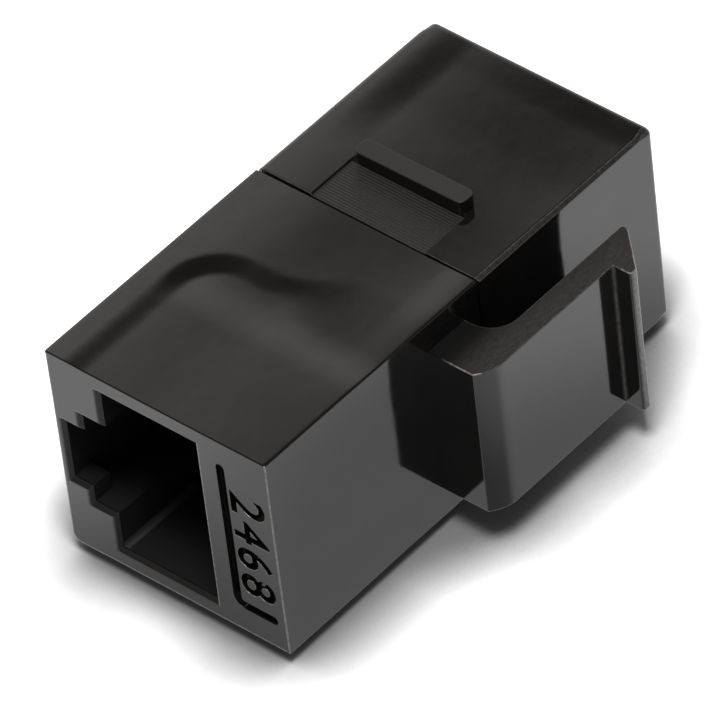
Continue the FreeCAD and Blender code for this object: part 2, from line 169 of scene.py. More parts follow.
class Skin:
    """Gathers grids of quads, fences and flat caps, then welds them into one mesh."""

    def __init__(self):
        self.points, self.wear = [], []
        self.faces, self.finishes, self.flats = [], [], []
        self.count = 0

    def add(self, points, faces, finish=GLOSS, flat=False, wear=0.0):
        """Points as an (n, 3) array, and faces as lists of their row numbers.

        finish is one number, or one for each face. The wear and highlight share, one number or one for
        each point, is how far a point is painted paler, from 0 to 1: highlight lines, partly scuffs.
        """
        self.points.append(np.asarray(points, float).reshape(-1, 3))
        self.wear.append(np.broadcast_to(np.ravel(wear), len(self.points[-1])))
        self.faces += (np.asarray(faces) + self.count).tolist() if len(faces) else []
        self.finishes += np.broadcast_to(np.ravel(finish), len(faces)).tolist()
        self.flats += [flat] * len(faces)
        self.count += len(self.points[-1])

    def strip(self, grid, closed=True, finish=GLOSS, wear=0.0):
        """Quads between neighbouring rows and columns of a (rows, columns, 3) grid of points.

        closed also joins the last column to the first.
        """
        rows, columns = grid.shape[:2]
        index = np.arange(rows * columns).reshape(rows, columns)
        if closed:
            index = np.concatenate([index, index[:, :1]], axis=1)
        quads = np.stack([index[:-1, :-1], index[:-1, 1:], index[1:, 1:], index[1:, :-1]], axis=-1)
        self.add(grid, quads.reshape(-1, 4), finish, wear=wear)

    def fence(self, rings, finish=GLOSS, wear=0.0):
        """Quads between loose edges: rings is (levels, edges, 2, 3), the same edges at each level."""
        levels, edges = rings.shape[:2]
        index = np.arange(levels * edges * 2).reshape(levels, edges, 2)
        here, beyond = index[:-1], index[1:]
        quads = np.stack([here[..., 0], here[..., 1], beyond[..., 1], beyond[..., 0]], axis=-1)
        self.add(rings, quads.reshape(-1, 4), finish, wear=wear)

    def cap(self, edges, lay, finish=GLOSS):
        """Fills the flat region bounded by edges, an (n, 2, 2) array, with triangles.

        A triangle is inside if a ray from its middle crosses the edges an odd number of times, and
        those with no edge between them follow their larger part, so loops inside the outer one
        are left open. lay turns (m, 2) points into (m, 3).
        """
        scale = 1 / MM
        ends = edges.reshape(-1, 2) * scale
        links = [(2 * i, 2 * i + 1) for i in range(len(edges))]
        flat, lines, faces, _, origins, _ = geometry.delaunay_2d_cdt(
            [Vector(p) for p in ends], links, [], 0, 1e-5)
        flat = np.array([tuple(p) for p in flat]) / scale
        faces = np.array([list(f) for f in faces])
        middle = flat[faces].mean(axis=1)
        a, b = edges[None, :, 0], edges[None, :, 1]
        spans = (a[..., 1] > middle[:, None, 1]) != (b[..., 1] > middle[:, None, 1])
        rise = np.where(spans, b[..., 1] - a[..., 1], 1.0)
        cross = a[..., 0] + (middle[:, None, 1] - a[..., 1]) * (b[..., 0] - a[..., 0]) / rise
        inside = (spans & (cross > middle[:, None, 0])).sum(axis=1) % 2 == 1
        bounds = np.array([sorted(line) for line, origin in zip(lines, origins) if origin])
        part = joined_parts(faces, bounds, len(flat))
        u, v = flat[faces[:, 1]] - flat[faces[:, 0]], flat[faces[:, 2]] - flat[faces[:, 0]]
        area = np.abs(u[:, 0] * v[:, 1] - u[:, 1] * v[:, 0])
        share = np.bincount(part, area * inside) / np.maximum(np.bincount(part, area), 1e-20)
        self.add(lay(flat), faces[share[part] > 0.5], finish, True)

    def close(self, grid, finish=GLOSS):
        """Closes both ends of a tube of points with one face each."""
        for row in (0, -1):
            self.add(grid[row], [list(range(len(grid[row])))], finish)

    def weld(self, name, materials):
        """One object from everything gathered, with its doubles merged and its faces outwards."""
        mesh = bpy.data.meshes.new(name)
        mesh.from_pydata(np.concatenate(self.points), [], self.faces)
        mesh.polygons.foreach_set("material_index", self.finishes)
        for label, kind, where, values in (("flat_cap", "INT", "FACE", np.array(self.flats, np.int32)),
                                           ("wear", "FLOAT", "POINT", np.concatenate(self.wear))):
            mesh.attributes.new(label, kind, where).data.foreach_set("value", values)
        shape = bmesh.new()
        shape.from_mesh(mesh)
        bmesh.ops.remove_doubles(shape, verts=shape.verts, dist=WELD)
        bmesh.ops.dissolve_degenerate(shape, edges=shape.edges, dist=WELD)
        bmesh.ops.recalc_face_normals(shape, faces=shape.faces)
        shape.to_mesh(mesh)
        shape.free()
        shade(mesh, math.cos(math.radians(SHARP)))
        for material in materials:
            mesh.materials.append(material)
        piece = bpy.data.objects.new(name, mesh)
        bpy.context.scene.collection.objects.link(piece)
        return piece


def joined_parts(faces, bounds, count):
    """A part number for each triangle: neighbours share one unless a bounding edge lies between them.

    Each takes the lowest number among its neighbours, over and over, until none changes.
    """
    sides = np.sort(faces[:, [[0, 1], [1, 2], [2, 0]]], axis=2).reshape(-1, 2)
    owner = np.repeat(np.arange(len(faces)), 3)
    code = sides[:, 0] * count + sides[:, 1]
    free = ~np.isin(code, bounds[:, 0] * count + bounds[:, 1])
    order = np.argsort(code[free], kind="stable")
    code, owner = code[free][order], owner[free][order]
    same = code[1:] == code[:-1]
    first, second = owner[:-1][same], owner[1:][same]
    part, before = np.arange(len(faces)), None
    while before is None or (part != before).any():
        before = part.copy()
        lowest = np.minimum(part[first], part[second])
        np.minimum.at(part, first, lowest)
        np.minimum.at(part, second, lowest)
        part = part[part]
    return part


def column(items, field, kind, width=1):
    """One field of a mesh's vertices, faces or corners as an array."""
    values = np.empty(len(items) * width, kind)
    items.foreach_get(field, values)
    return values.reshape(-1, width) if width > 1 else values


def shade(mesh, limit):
    """Corner normals: at each vertex, the sum of the normals of the faces there, times their area.

    A corner counts only the faces within a limit of its own, so sharp edges stay sharp, and a flat
    cap counts far more than the rounding beside it, so it shades flat.
    """
    mesh.shade_smooth()
    area, normal = column(mesh.polygons, "area", float), column(mesh.polygons, "normal", float, 3)
    flat = column(mesh.attributes["flat_cap"].data, "value", np.int32) > 0
    weight = area * np.where(flat, FLAT_WEIGHT, 1.0)
    face = np.repeat(np.arange(len(area)), column(mesh.polygons, "loop_total", int))
    vertex = column(mesh.loops, "vertex_index", int)
    order = np.argsort(vertex, kind="stable")
    start = np.searchsorted(vertex[order], np.arange(len(mesh.vertices) + 1))
    total = np.zeros((len(face), 3))
    for step in range(int(np.diff(start).max())):
        at = start[vertex] + step
        near = at < start[vertex + 1]
        other = face[order[np.minimum(at, len(order) - 1)]]
        near &= (normal[face] * normal[other]).sum(axis=1) > limit
        total += np.where(near[:, None], normal[other] * weight[other, None], 0)
    total /= np.linalg.norm(total, axis=1, keepdims=True)
    mesh.normals_split_custom_set(total.tolist())


def ring_edges(loop):
    """The closed loop's edges as an (n, 2, k) array."""
    return np.stack([loop, np.roll(loop, -1, axis=0)], axis=1)


def soften(points, radii, steps, closed=True):
    """A 2-D outline with each corner replaced by an arc of its radius, in steps + 1 points.

    The arc's centre is on the corner's bisector at radius / sin(half the angle), and its ends are
    radius / tan(half the angle) along both sides.
    """
    points = np.asarray(points, float)
    radii = np.broadcast_to(np.asarray(radii, float), len(points))
    back = np.roll(points, 1, axis=0) - points
    ahead = np.roll(points, -1, axis=0) - points
    back /= np.linalg.norm(back, axis=1, keepdims=True)
    ahead /= np.linalg.norm(ahead, axis=1, keepdims=True)
    bisector = back + ahead
    bisector /= np.linalg.norm(bisector, axis=1, keepdims=True)
    half = np.arccos(np.clip((back * ahead).sum(axis=1), -1, 1)) / 2
    centre = bisector / np.sin(half)[:, None]
    first = back / np.tan(half)[:, None] - centre
    last = ahead / np.tan(half)[:, None] - centre
    turn = (math.pi - 2 * half)[:, None, None]
    share = np.linspace(0, 1, steps + 1)[None, :, None]
    arc = np.sin((1 - share) * turn) * first[:, None] + np.sin(share * turn) * last[:, None]
    arc = arc / np.sin(turn)
    rounded = points[:, None] + radii[:, None, None] * (centre[:, None] + arc)
    if closed:
        return rounded.reshape(-1, 2)
    return np.concatenate([points[:1], rounded[1:-1].reshape(-1, 2), points[-1:]])


def upright(flat, y):
    """(..., 2) points of x and z as (..., 3) ones, at one Y or at a Y for each."""
    return np.stack([flat[..., 0], np.broadcast_to(y, flat.shape[:-1]), flat[..., 1]], axis=-1)


def in_y_plane(y):
    """Lays (x, z) points at this Y."""
    return lambda flat: upright(flat, y)


def in_z_plane(z):
    """Lays (x, y) points at this Z."""
    return lambda flat: np.column_stack([flat, np.full(len(flat), z)])


def quarter(radius, steps):
    """Rounding of an edge: (distance along, inset) pairs from inset = radius to inset = 0."""
    angle = np.linspace(0, math.pi / 2, steps + 1)
    return radius * (1 - np.cos(angle)), radius * (1 - np.sin(angle))


def outline_normals(loop):
    """Outward mitre normals of a closed 2-D loop that runs counter-clockwise.

    Each is the sum of the two sides' unit normals over 1 + their dot product, so moving every point
    by it moves every side by one unit.
    """
    side = np.roll(loop, -1, axis=0) - loop
    side /= np.linalg.norm(side, axis=1, keepdims=True)
    normal = np.stack([side[:, 1], -side[:, 0]], axis=1)
    before = np.roll(normal, 1, axis=0)
    return (normal + before) / (1 + (normal * before).sum(axis=1, keepdims=True))


class Outline:
    """A closed 2-D outline with rounded corners, which can be moved inwards without folding.

    Corners are (x, y, radius), counter-clockwise. Moved inwards by d, an outer corner's radius
    becomes radius - d and an inner one's radius + d. Long sides are divided every spacing.
    """

    LEAST_RADIUS = 0.02 * MM

    def __init__(self, corners, steps=8, spacing=0.25 * MM):
        corners = np.asarray(corners, float)
        self.places, self.radii, self.steps = corners[:, :2], corners[:, 2], steps
        self.mitres = outline_normals(self.places)
        ahead = np.roll(self.places, -1, axis=0) - self.places
        behind = self.places - np.roll(self.places, 1, axis=0)
        self.bulge = np.sign(behind[:, 0] * ahead[:, 1] - behind[:, 1] * ahead[:, 0])
        loop = self.rounded(0.0)
        side = np.linalg.norm(np.roll(loop, -1, axis=0) - loop, axis=1)
        parts = np.where(side > 2 * EPS, np.maximum(1, np.ceil(side / spacing)), 0).astype(int)
        self.index = np.repeat(np.arange(len(loop)), parts)
        self.share = np.concatenate([np.arange(n) / max(n, 1) for n in parts])[:, None]

    def rounded(self, inset):
        """The corners moved inwards and rounded; a radius of 0 stays sharp."""
        radii = np.maximum(self.radii - self.bulge * inset, self.LEAST_RADIUS) * (self.radii > 0)
        return soften(self.places - inset * self.mitres, radii, self.steps)

    def at(self, inset):
        """The outline moved inwards: always the same number of points, in the same order."""
        loop = self.rounded(inset)
        ahead = np.roll(loop, -1, axis=0)
        return loop[self.index] + (ahead - loop)[self.index] * self.share


# ---- Moulded halves ----

def smooth_step(value, start, end):
    """0 before start, 1 after end, and an S-curve 3t^2 - 2t^3 between."""
    t = np.clip((value - start) / (end - start), 0, 1)
    return t * t * (3 - 2 * t)


def inner_faces(node, y_start, y_end):
    """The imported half's inside walls between y_start and y_end, as triangles' corner points.

    Faces with a corner on the outer skin, those in the seam plane and the floors of engravings are
    left out.
    """
    outer_wall, engraving = 0.42 * MM, 0.5 * MM
    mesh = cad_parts[node].data
    mesh.calc_loop_triangles()
    tris = column(mesh.vertices, "co", float, 3)[column(mesh.loop_triangles, "vertices", int, 3)]
    x, y, z = (tris[..., i] for i in range(3))
    inwards = 1 if y_end > y_start else -1
    inside = (np.abs(x) < HALF_WIDTH - outer_wall) & (np.abs(z) < HALF_HEIGHT - 2 * outer_wall)
    inside &= (y - y_start) * inwards > -EPS
    in_seam = (np.abs(y - y_end) < EPS).all(axis=1)
    engraved = (np.ptp(y, axis=1) < EPS) & (np.abs(y[:, 0] - y_start) < engraving)
    return tris[inside.all(axis=1) & ~in_seam & ~engraved]


def loose_edges(tris, y):
    """Edges at this Y that belong to one triangle only, as an (n, 2, 3) array."""
    edges = np.stack([tris, np.roll(tris, -1, axis=1)], axis=2).reshape(-1, 2, 3)
    edges = edges[(np.abs(edges[..., 1] - y) < EPS).all(axis=1)]
    keys = np.round(edges / (10 * WELD)).astype(np.int64).reshape(-1, 3)
    numbers = np.sort(np.unique(keys, axis=0, return_inverse=True)[1].reshape(-1, 2), axis=1)
    _, first, count = np.unique(numbers @ (len(keys), 1), return_index=True, return_counts=True)
    return edges[np.sort(first[count == 1])]


def stepped_loop(levels, halves, grow, radius, steps=3):
    """The plug opening's outline, grown outwards, with each corner rounded.

    levels are the X of its four steps, from the deepest notch to the far side, and halves are the
    half widths of the two notches and of the plug.
    """
    deep, shoulder, low, high = levels
    upper = [
        (high + grow, halves[2] + grow),
        (low - grow, halves[2] + grow),
        (low - grow, halves[1] + grow),
        (shoulder - grow, halves[1] + grow),
        (shoulder - grow, halves[0] + grow),
        (deep - grow, halves[0] + grow),
    ]
    return soften(upper + [(x, -z) for x, z in reversed(upper)], radius, steps)


def body_lines(radii, flank_lines):
    """The cross-section: a rounded rectangle as points and outward normals.

    radii are those of the corners (+x, +z), (-x, +z), (-x, -z) and (+x, -z). flank_lines gives the
    lines of a flank between two values of x; the sides have lines of their own.
    """
    angle = np.linspace(0, math.pi / 2, 9)[1:-1]

    def bend(side, end, radius, start):
        turn = np.stack([np.cos(start + angle), np.sin(start + angle)], axis=1)
        middle = np.array([side * (HALF_WIDTH - radius), end * (HALF_HEIGHT - radius)])
        return middle + radius * turn, turn

    def run(x, z, normal):
        points = np.stack(np.broadcast_arrays(x, z), axis=1).astype(float)
        return points, np.broadcast_to(np.array(normal, float), points.shape)

    upper, upper_lug, lower_lug, lower = radii
    side_z = np.linspace(-HALF_HEIGHT + lower, HALF_HEIGHT - upper, 33)
    lug_z = np.linspace(HALF_HEIGHT - upper_lug, -HALF_HEIGHT + lower_lug, 33)
    parts = [
        run(HALF_WIDTH, side_z, (1, 0)), bend(1, 1, upper, 0),
        run(flank_lines(-HALF_WIDTH + upper_lug, HALF_WIDTH - upper)[::-1], HALF_HEIGHT, (0, 1)),
        bend(-1, 1, upper_lug, math.pi / 2),
        run(-HALF_WIDTH, lug_z, (-1, 0)), bend(-1, -1, lower_lug, math.pi),
        run(flank_lines(-HALF_WIDTH + lower_lug, HALF_WIDTH - lower), -HALF_HEIGHT, (0, -1)),
        bend(1, -1, lower, 1.5 * math.pi),
    ]
    return np.concatenate([p for p, _ in parts]), np.concatenate([n for _, n in parts])


def ramp_up(value, middle, width):
    """0 to 1 along an S-curve of this width about its middle."""
    return smooth_step(value, middle - width / 2, middle + width / 2)


def well(x, y, middle, half, corner, side_wall, end_wall):
    """A flat-bottomed dish, 1 inside and 0 outside, over a rounded rectangle.

    The distance to the rectangle's edge is hypot(ox, oy) - corner with ox, oy the distances past its
    corner centres. The wall is side_wall wide along X and end_wall wide along Y.
    """
    qx = np.abs(x - middle[0]) - (half[0] - corner)
    qy = np.abs(y - middle[1]) - (half[1] - corner)
    ox, oy = np.maximum(qx, 0), np.maximum(qy, 0)
    past = np.hypot(ox, oy)
    distance = past + np.minimum(np.maximum(qx, qy), 0) - corner
    share = np.where(past > 0, oy ** 2 / np.maximum(past, 1e-9) ** 2, 0)
    return 1 - ramp_up(distance, 0, side_wall * (1 - share) + end_wall * share)


def rear_waves(x, y):
    """How far the rear half's flanks sink, in millimetres, at (x, y) in millimetres.

    A shallow well over the socket, whose far wall flattens out towards the latch, on a surface that
    falls slowly towards the latch side near the seam.
    """
    middle, half, corner, side_wall = (8.2, -31.0), (14.0, 9.1), 2.8, 1.7
    end_wall = 1.75 + 4.5 * smooth_step(x, -1.2, 3.6)
    deep = 0.028 + 0.055 * smooth_step(y, -26.5, -23.0)
    dish = deep * well(x, y, middle, half, corner, side_wall, end_wall)
    fall = smooth_step(x, -4.0, 5.5) * (1 - 0.22 * smooth_step(x, 5.6, 7.9))
    return dish + 0.026 * smooth_step(x, -6.2, 1.0) + 0.075 * (fall * smooth_step(y, -29.0, -16.0))


def front_waves(x, y):
    """How far the front half's flanks sink, in millimetres: a fall towards the latch side."""
    fall = 0.185 * smooth_step(x, -7.2, 9.2)
    step = 0.048 * smooth_step(x, -7.3, -4.3) * smooth_step(y, -12.0, -5.5)
    return (fall + step) * (1 - 0.35 * smooth_step(y, -2.5, 0.5))


def side_waves(z, y):
    """How far the sides sink, in millimetres: a long shallow trough."""
    return 0.02 * (1 - smooth_step(np.abs(z), 3.0, 6.6)) * smooth_step(-y, 0.5, 5.0)


def body_grid(section, normals, rows, insets):
    """The section carried along Y, inset by a value for each row, or for each row and point."""
    flat = section[None] - insets.reshape(len(rows), -1, 1) * normals[None]
    return upright(flat, rows[:, None])


def sink(grid, normals, moulding, waves):
    """Lets the flanks and sides sink by their waves, fading round the long edges with the normal."""
    x, y, z = (grid[..., i] / MM for i in range(3))
    up, out = normals[None, :, 1], normals[None, :, 0]
    reach = moulding.sink_depth
    grid[..., 2] -= waves(x, y) * reach * up
    grid[..., 0] -= side_waves(z, y) * reach * out


def socket_mouth(skin, moulding, levels, halves, depth_to_y, slide):
    """The rim, lead-in chamfer and first stretch of wall of a socket.

    The profile is a polyline in (growth, depth) with softened corners: flat face, 45 degree lead-in,
    wall. Each of its points gives one stepped loop. Returns the outermost loop's edges.
    """
    lead, crisp = moulding.lead_in, moulding.crisp
    profile = soften([(lead + 4 * crisp, 0), (lead, 0), (0, lead), (0, lead + slide)],
                     [0, moulding.mouth_edge, crisp, 0], 4, closed=False)[1:]
    corner = np.full(len(profile), crisp)
    corner[-1] = 0
    loops = [stepped_loop(levels, halves, grow, radius) for (grow, _), radius in zip(profile, corner)]
    rows = [upright(loop, depth_to_y(depth)) for loop, (_, depth) in zip(loops, profile)]
    # The rim's rounding on the latch side is painted paler: a painted highlight line
    wear = np.zeros((len(rows), len(loops[0])))
    wear[1:4] = (loops[0][:, 0] > loops[0][:, 0].max() - EPS)[None]
    skin.strip(np.array(rows), wear=wear)
    return ring_edges(loops[0])


FILLET_LENGTH = 6 * MM      # how far the corner fillets run in from the lead-in


def corner_fillet(skin, moulding, low, half, y_start, y_end):
    """A hollow rounding along the two corners under a plug, where its floor meets the walls.

    Each is a bar whose section is the corner, set a little into both walls, and a hollow arc.
    """
    radius, sunk = moulding.socket_fillet, 0.02 * MM
    angle = np.linspace(0, math.pi / 2, 6)
    arc = np.stack([low + radius * (1 - np.sin(angle)), radius * (1 - np.cos(angle)) - half], axis=1)
    corner = [[low - sunk, arc[-1, 1]], [low - sunk, -half - sunk], [arc[0, 0], -half - sunk]]
    section = np.concatenate([arc, corner])
    for side in (1, -1):
        ring = section * (1, side)
        grid = np.array([upright(ring, y) for y in np.linspace(y_start, y_end, 9)])
        # The corner finish is painted paler than the walls: a painted highlight along the corner
        skin.strip(grid, finish=CORNER_HIGHLIGHT)
        skin.close(grid, CORNER_HIGHLIGHT)


def half_inside(skin, moulding, node, y_face, y_seam):
    """The inside walls and the mouth of one half.

    The walls' corners at the lead-in slide a little further in, where the mouth's own stretch of
    wall ends. Returns the edges of the mouth in the face and of the walls in the seam plane.
    """
    inwards = 1 if y_seam > y_face else -1
    lead = y_face + inwards * moulding.lead_in
    tris = inner_faces(node, lead, y_seam)
    mouth = np.abs(tris[..., 1] - lead) < EPS
    rim = tris[mouth]
    levels = np.unique(np.round(rim[:, 0], 6))
    halves = np.unique(np.round(np.abs(rim[:, 2]), 6))
    seam = loose_edges(tris, y_seam)
    slide = 0.06 * MM
    tris = tris.copy()
    tris[..., 1] += mouth * inwards * slide
    skin.add(tris, np.arange(len(tris) * 3).reshape(-1, 3), INSIDE)
    corner_fillet(skin, moulding, levels[-2], halves[-1],
                  lead + inwards * slide, lead + inwards * FILLET_LENGTH)
    face = socket_mouth(skin, moulding, levels, halves, lambda depth: y_face + inwards * depth, slide)
    return face, seam[..., [0, 2]]


def groove(skin, moulding, mouth_x):
    """The L-shaped groove: two straight legs, a rounded corner and round ends.

    Its outline is its path offset by half its width, which is lofted down a softened profile of
    (growth, depth). mouth_x is the socket's wall beside it. Returns the edges of its rim.
    """
    half, bend, draft = moulding.groove_width / 2, 0.5 * MM, 0.06 * MM
    corner_x, end_x = mouth_x + moulding.lead_in + 1.47 * MM, HALF_WIDTH - 0.88 * MM
    bottom_z, top_z = 2.25 * MM - HALF_HEIGHT, HALF_HEIGHT - 2.08 * MM
    crisp, depth = moulding.crisp, moulding.groove_depth

    def loop(grow):
        reach = half + grow
        half_turn, quarter_turn = np.linspace(0, math.pi, 13), np.linspace(0, math.pi / 2, 9)

        def arc(x, z, across, up):
            return np.stack([x + across, z + up], axis=1)

        sine, cosine = np.sin(quarter_turn), np.cos(quarter_turn)
        return np.concatenate([
            arc(corner_x, top_z, reach * np.cos(half_turn), reach * np.sin(half_turn)),
            arc(corner_x + bend, bottom_z + bend, -(bend + reach) * cosine, -(bend + reach) * sine),
            arc(end_x, bottom_z, reach * np.sin(half_turn), -reach * np.cos(half_turn)),
            arc(corner_x + bend, bottom_z + bend, -(bend - reach) * sine, -(bend - reach) * cosine)])

    profile = soften([(4 * crisp, 0), (0, 0), (-draft, depth), (-4 * crisp, depth)],
                     [0, 0.3 * crisp, 2 * crisp, 0], 4, closed=False)[1:-1]
    loops = [loop(grow) for grow, _ in profile]
    skin.strip(np.array([upright(rim, REAR_Y + down) for rim, (_, down) in zip(loops, profile)]))
    skin.cap(ring_edges(loops[-1]), in_y_plane(REAR_Y + profile[-1][1]))
    return ring_edges(loops[0])


# How an engraved number widens above its floor: (growth, depth) in millimetres, from the face down
NUMERAL_RINGS = [(0.084, 0.000), (0.073, 0.005), (0.062, 0.018), (0.053, 0.045), (0.047, 0.110),
                 (0.041, 0.280), (0.032, 0.400), (0.020, 0.445)]
NUMERAL_FLOOR = 0.008       # growth at the floor, in millimetres
NUMERAL_GLINT = 0.9          # how far the rims are painted paler, as glints
NUMERAL_SHARE = 0.82        # the most of its room that a number's width takes
NUMERAL_COLUMN = 6.26 * MM  # X of the column's middle
GLYPH_WELD = 0.008          # points of a glyph nearer than this are one, in the font's units
MITRE_LEAST = 0.12          # keeps the mitres of very sharp corners short


def glyph_outline(character):
    """A character's flat outline from the built-in font: edges (n, 2, 2) and their outward mitres.

    A mitre is the sum of its two edges' unit normals over 1 + their dot product, or over MITRE_LEAST
    if that is more. Short edges are merged first, since a ring that grows past one could cross itself.
    """
    curve = bpy.data.curves.new("numeral", "FONT")
    curve.body = character
    curve.resolution_u = 5
    holder = bpy.data.objects.new("numeral", curve)
    bpy.context.scene.collection.objects.link(holder)
    bpy.context.view_layer.update()
    depsgraph = bpy.context.evaluated_depsgraph_get()
    mesh = bpy.data.meshes.new_from_object(holder.evaluated_get(depsgraph))
    shape = bmesh.new()
    shape.from_mesh(mesh)
    bmesh.ops.remove_doubles(shape, verts=shape.verts, dist=GLYPH_WELD)
    edges, outs = [], {}
    for edge in shape.edges:
        if len(edge.link_faces) == 1:
            a, b = (np.array(v.co.xy) for v in edge.verts)
            inward = np.array(edge.link_faces[0].calc_center_median().xy) - (a + b) / 2
            normal = np.array([b[1] - a[1], a[0] - b[0]])
            normal /= np.linalg.norm(normal) * (-1 if normal @ inward > 0 else 1)
            edges.append([v.index for v in edge.verts])
            for v in edge.verts:
                outs.setdefault(v.index, []).append(normal)
    shape.verts.ensure_lookup_table()
    place = {i: np.array(shape.verts[i].co.xy) for i in outs}
    mitre = {i: sum(n) / max(1 + n[0] @ n[-1], MITRE_LEAST) for i, n in outs.items()}
    shape.free()
    bpy.data.objects.remove(holder)
    ends = np.array([[place[a], place[b]] for a, b in edges])
    return ends, np.array([[mitre[a], mitre[b]] for a, b in edges])


def numerals(skin, moulding):
    """Engraves every second contact's number in a column beside the socket, level with its contact.

    Each glyph's edges are lowered through rings of (growth, depth). Its top points towards the
    latch, so the column reads from the +Z flank down. Returns the edges of the rims.
    """
    deep, room = moulding.numeral_depth, 2 * moulding.contact_pitch
    rings = NUMERAL_RINGS + [(NUMERAL_FLOOR, deep / MM)]
    # The rims' upper rings are painted paler: painted glints round the engraved numbers
    wear = np.interp(np.arange(len(rings)), [0, 1, 2, 3], [0, NUMERAL_GLINT, NUMERAL_GLINT, 0])
    rims = []
    for place, number in enumerate((2, 4, 6, 8)):
        ends, mitres = glyph_outline(str(number))
        low, high = ends.reshape(-1, 2).min(axis=0), ends.reshape(-1, 2).max(axis=0)
        tall = moulding.numeral_height / (high[1] - low[1])
        wide = min(tall, NUMERAL_SHARE * room / (high[0] - low[0]))
        centred = ends - (low + high) / 2
        z = (1.5 - place) * room - centred[..., 0] * wide
        flat = np.stack([NUMERAL_COLUMN + centred[..., 1] * tall, z], axis=-1)
        out = np.stack([mitres[..., 1], -mitres[..., 0]], axis=-1)
        levels = np.array([upright(flat + out * grow * MM, REAR_Y + depth * MM)
                           for grow, depth in rings])
        skin.fence(levels, wear=np.broadcast_to(wear[:, None, None], levels.shape[:3]))
        skin.cap(levels[-1][..., [0, 2]], in_y_plane(REAR_Y + deep))
        rims.append(levels[0][..., [0, 2]])
    return rims


def rim_rows(section, normals, radius, ease, y, inwards, steps=5):
    """The rounding round the end face at y, from that face inwards: +1 or -1 along Y.

    Its radius is the given one times ease, which has a share for each point of the section.
    """
    along, inset = quarter(radius, steps)
    flat = section[None] - (inset[:, None] * ease)[..., None] * normals[None]
    return upright(flat, y + inwards * along[:, None] * ease)


FLANK_LINES, REAR_ROWS = 89, 104    # points across a flank, and rows from end to end
LEAST_EASE = 0.3            # the rear face's rounding on the other sides, as a share
STEP_SLOPE = 0.004 * MM     # how far the seam step's wall leans
RIM_HIGHLIGHT = 0.45             # how far the rear face's rounding is painted paler as a highlight, off the latch side


def rear_skin(moulding):
    """The rear half's surface.

    Its face's rounding has its full radius on the lug side and below, and LEAST_EASE of it elsewhere.
    """
    skin = Skin()
    y_seam = PANEL_Y - moulding.front_length - moulding.seam_gap
    face, seam = half_inside(skin, moulding, "rear_housing", REAR_Y, y_seam)
    edge = moulding.rear_long_edge
    section, normals = body_lines((edge, edge, moulding.under_edge, edge),
                                  lambda low, high: np.linspace(low, high, FLANK_LINES))
    lug_side, below = (smooth_step(-normals[:, i], 0.2, 0.9) for i in (0, 1))
    ease = LEAST_EASE + (1 - LEAST_EASE) * np.maximum(lug_side, below)
    rim = rim_rows(section, normals, moulding.rear_edge, ease, REAR_Y, 1)
    rim = np.concatenate([rim, rim[-1:] + (0, GUARD, 0)])
    start, end = REAR_Y + moulding.rear_edge + GUARD, y_seam - moulding.shadow_gap
    rows = np.linspace(start, end, REAR_ROWS)[1:]
    grid = body_grid(section, normals, rows, np.zeros(len(rows)))
    narrow = section * (1 - moulding.shadow_depth / np.array([HALF_WIDTH, HALF_HEIGHT]))
    step = body_grid(narrow, normals, np.array([end + STEP_SLOPE, y_seam]), np.zeros(2))
    grid = np.concatenate([rim, grid, step])
    sink(grid, normals, moulding, rear_waves)
    # Rounding painted paler as highlight lines: full on the latch side, partly below and lug side, not on
    # top
    rim_highlight = np.where(normals[:, 0] > 0.5, 1.0, np.where(normals[:, 1] < 0.5, RIM_HIGHLIGHT, 0.0))
    level = np.arange(len(grid))
    skin.strip(grid, wear=((level > 0) & (level < len(rim) - 1))[:, None] * rim_highlight)
    engraved = groove(skin, moulding, face[..., 0].max() - moulding.lead_in)
    rims = [ring_edges(grid[0][:, [0, 2]]), face, engraved] + numerals(skin, moulding)
    skin.cap(np.concatenate(rims), in_y_plane(REAR_Y))
    skin.cap(np.concatenate([ring_edges(grid[-1][:, [0, 2]]), seam]), in_y_plane(y_seam))
    return skin


def stop_bar(skin, side):
    """The stop ridge on one flank: a rounded rectangle carried up to a softened top.

    Its loops go from inside the wall to the rounding of the top, each with its growth and height.
    """
    half_x, back, front, top = 3.975 * MM, -11.69 * MM, -10.42 * MM, 8.0 * MM
    rounding, corner, sunk = 0.05 * MM, 0.45 * MM, 0.45 * MM
    corners = np.array([(half_x, back), (half_x, front), (-half_x, front), (-half_x, back)])
    outwards = np.sign(corners - np.array([0, (back + front) / 2]))
    along, inset = quarter(rounding, 5)
    heights = np.concatenate([[HALF_HEIGHT - sunk], (top - along)[::-1]])
    grows = np.concatenate([[0.0], -inset[::-1]])
    loops = [soften(corners + outwards * grow, corner + grow, 8) for grow in grows]
    rows = [in_z_plane(side * height)(loop) for loop, height in zip(loops, heights)]
    finishes = np.repeat([GLOSS] + [GRIP] * (len(rows) - 2), len(loops[0]))
    skin.strip(np.array(rows), finish=finishes)
    for row in (0, -1):
        skin.cap(ring_edges(loops[row]), in_z_plane(side * heights[row]), GRIP if row else GLOSS)


def prism(skin, outline, half_width, edges, finish=PARTING, wear=0.0, side_wear_and_highlight=0.0):
    """An Outline in XY carried across Z, with its two rims softened by edges, the lower one first.

    Rows are the outline moved inwards by the inset of a quarter circle near each end. The last two
    arguments, one number or one for each point of the outline, paint the upper rim and the rest
    paler: highlight lines with some scuffs.
    """
    low, high = (quarter(edge, 4) for edge in edges)
    z = np.concatenate([-half_width + low[0], (half_width - high[0])[::-1]])
    insets = np.concatenate([low[1], high[1][::-1]])
    flat = np.array([outline.at(inset) for inset in insets])
    scuffs_and_highlights = np.zeros(flat.shape[:2])
    scuffs_and_highlights[1:-1] = side_wear_and_highlight
    scuffs_and_highlights[-len(high[0]) + 1:] = wear
    skin.strip(np.array([in_z_plane(height)(loop) for loop, height in zip(flat, z)]), wear=scuffs_and_highlights)
    for row in (0, -1):
        skin.cap(ring_edges(flat[row]), in_z_plane(z[row]), finish if row else GLOSS)


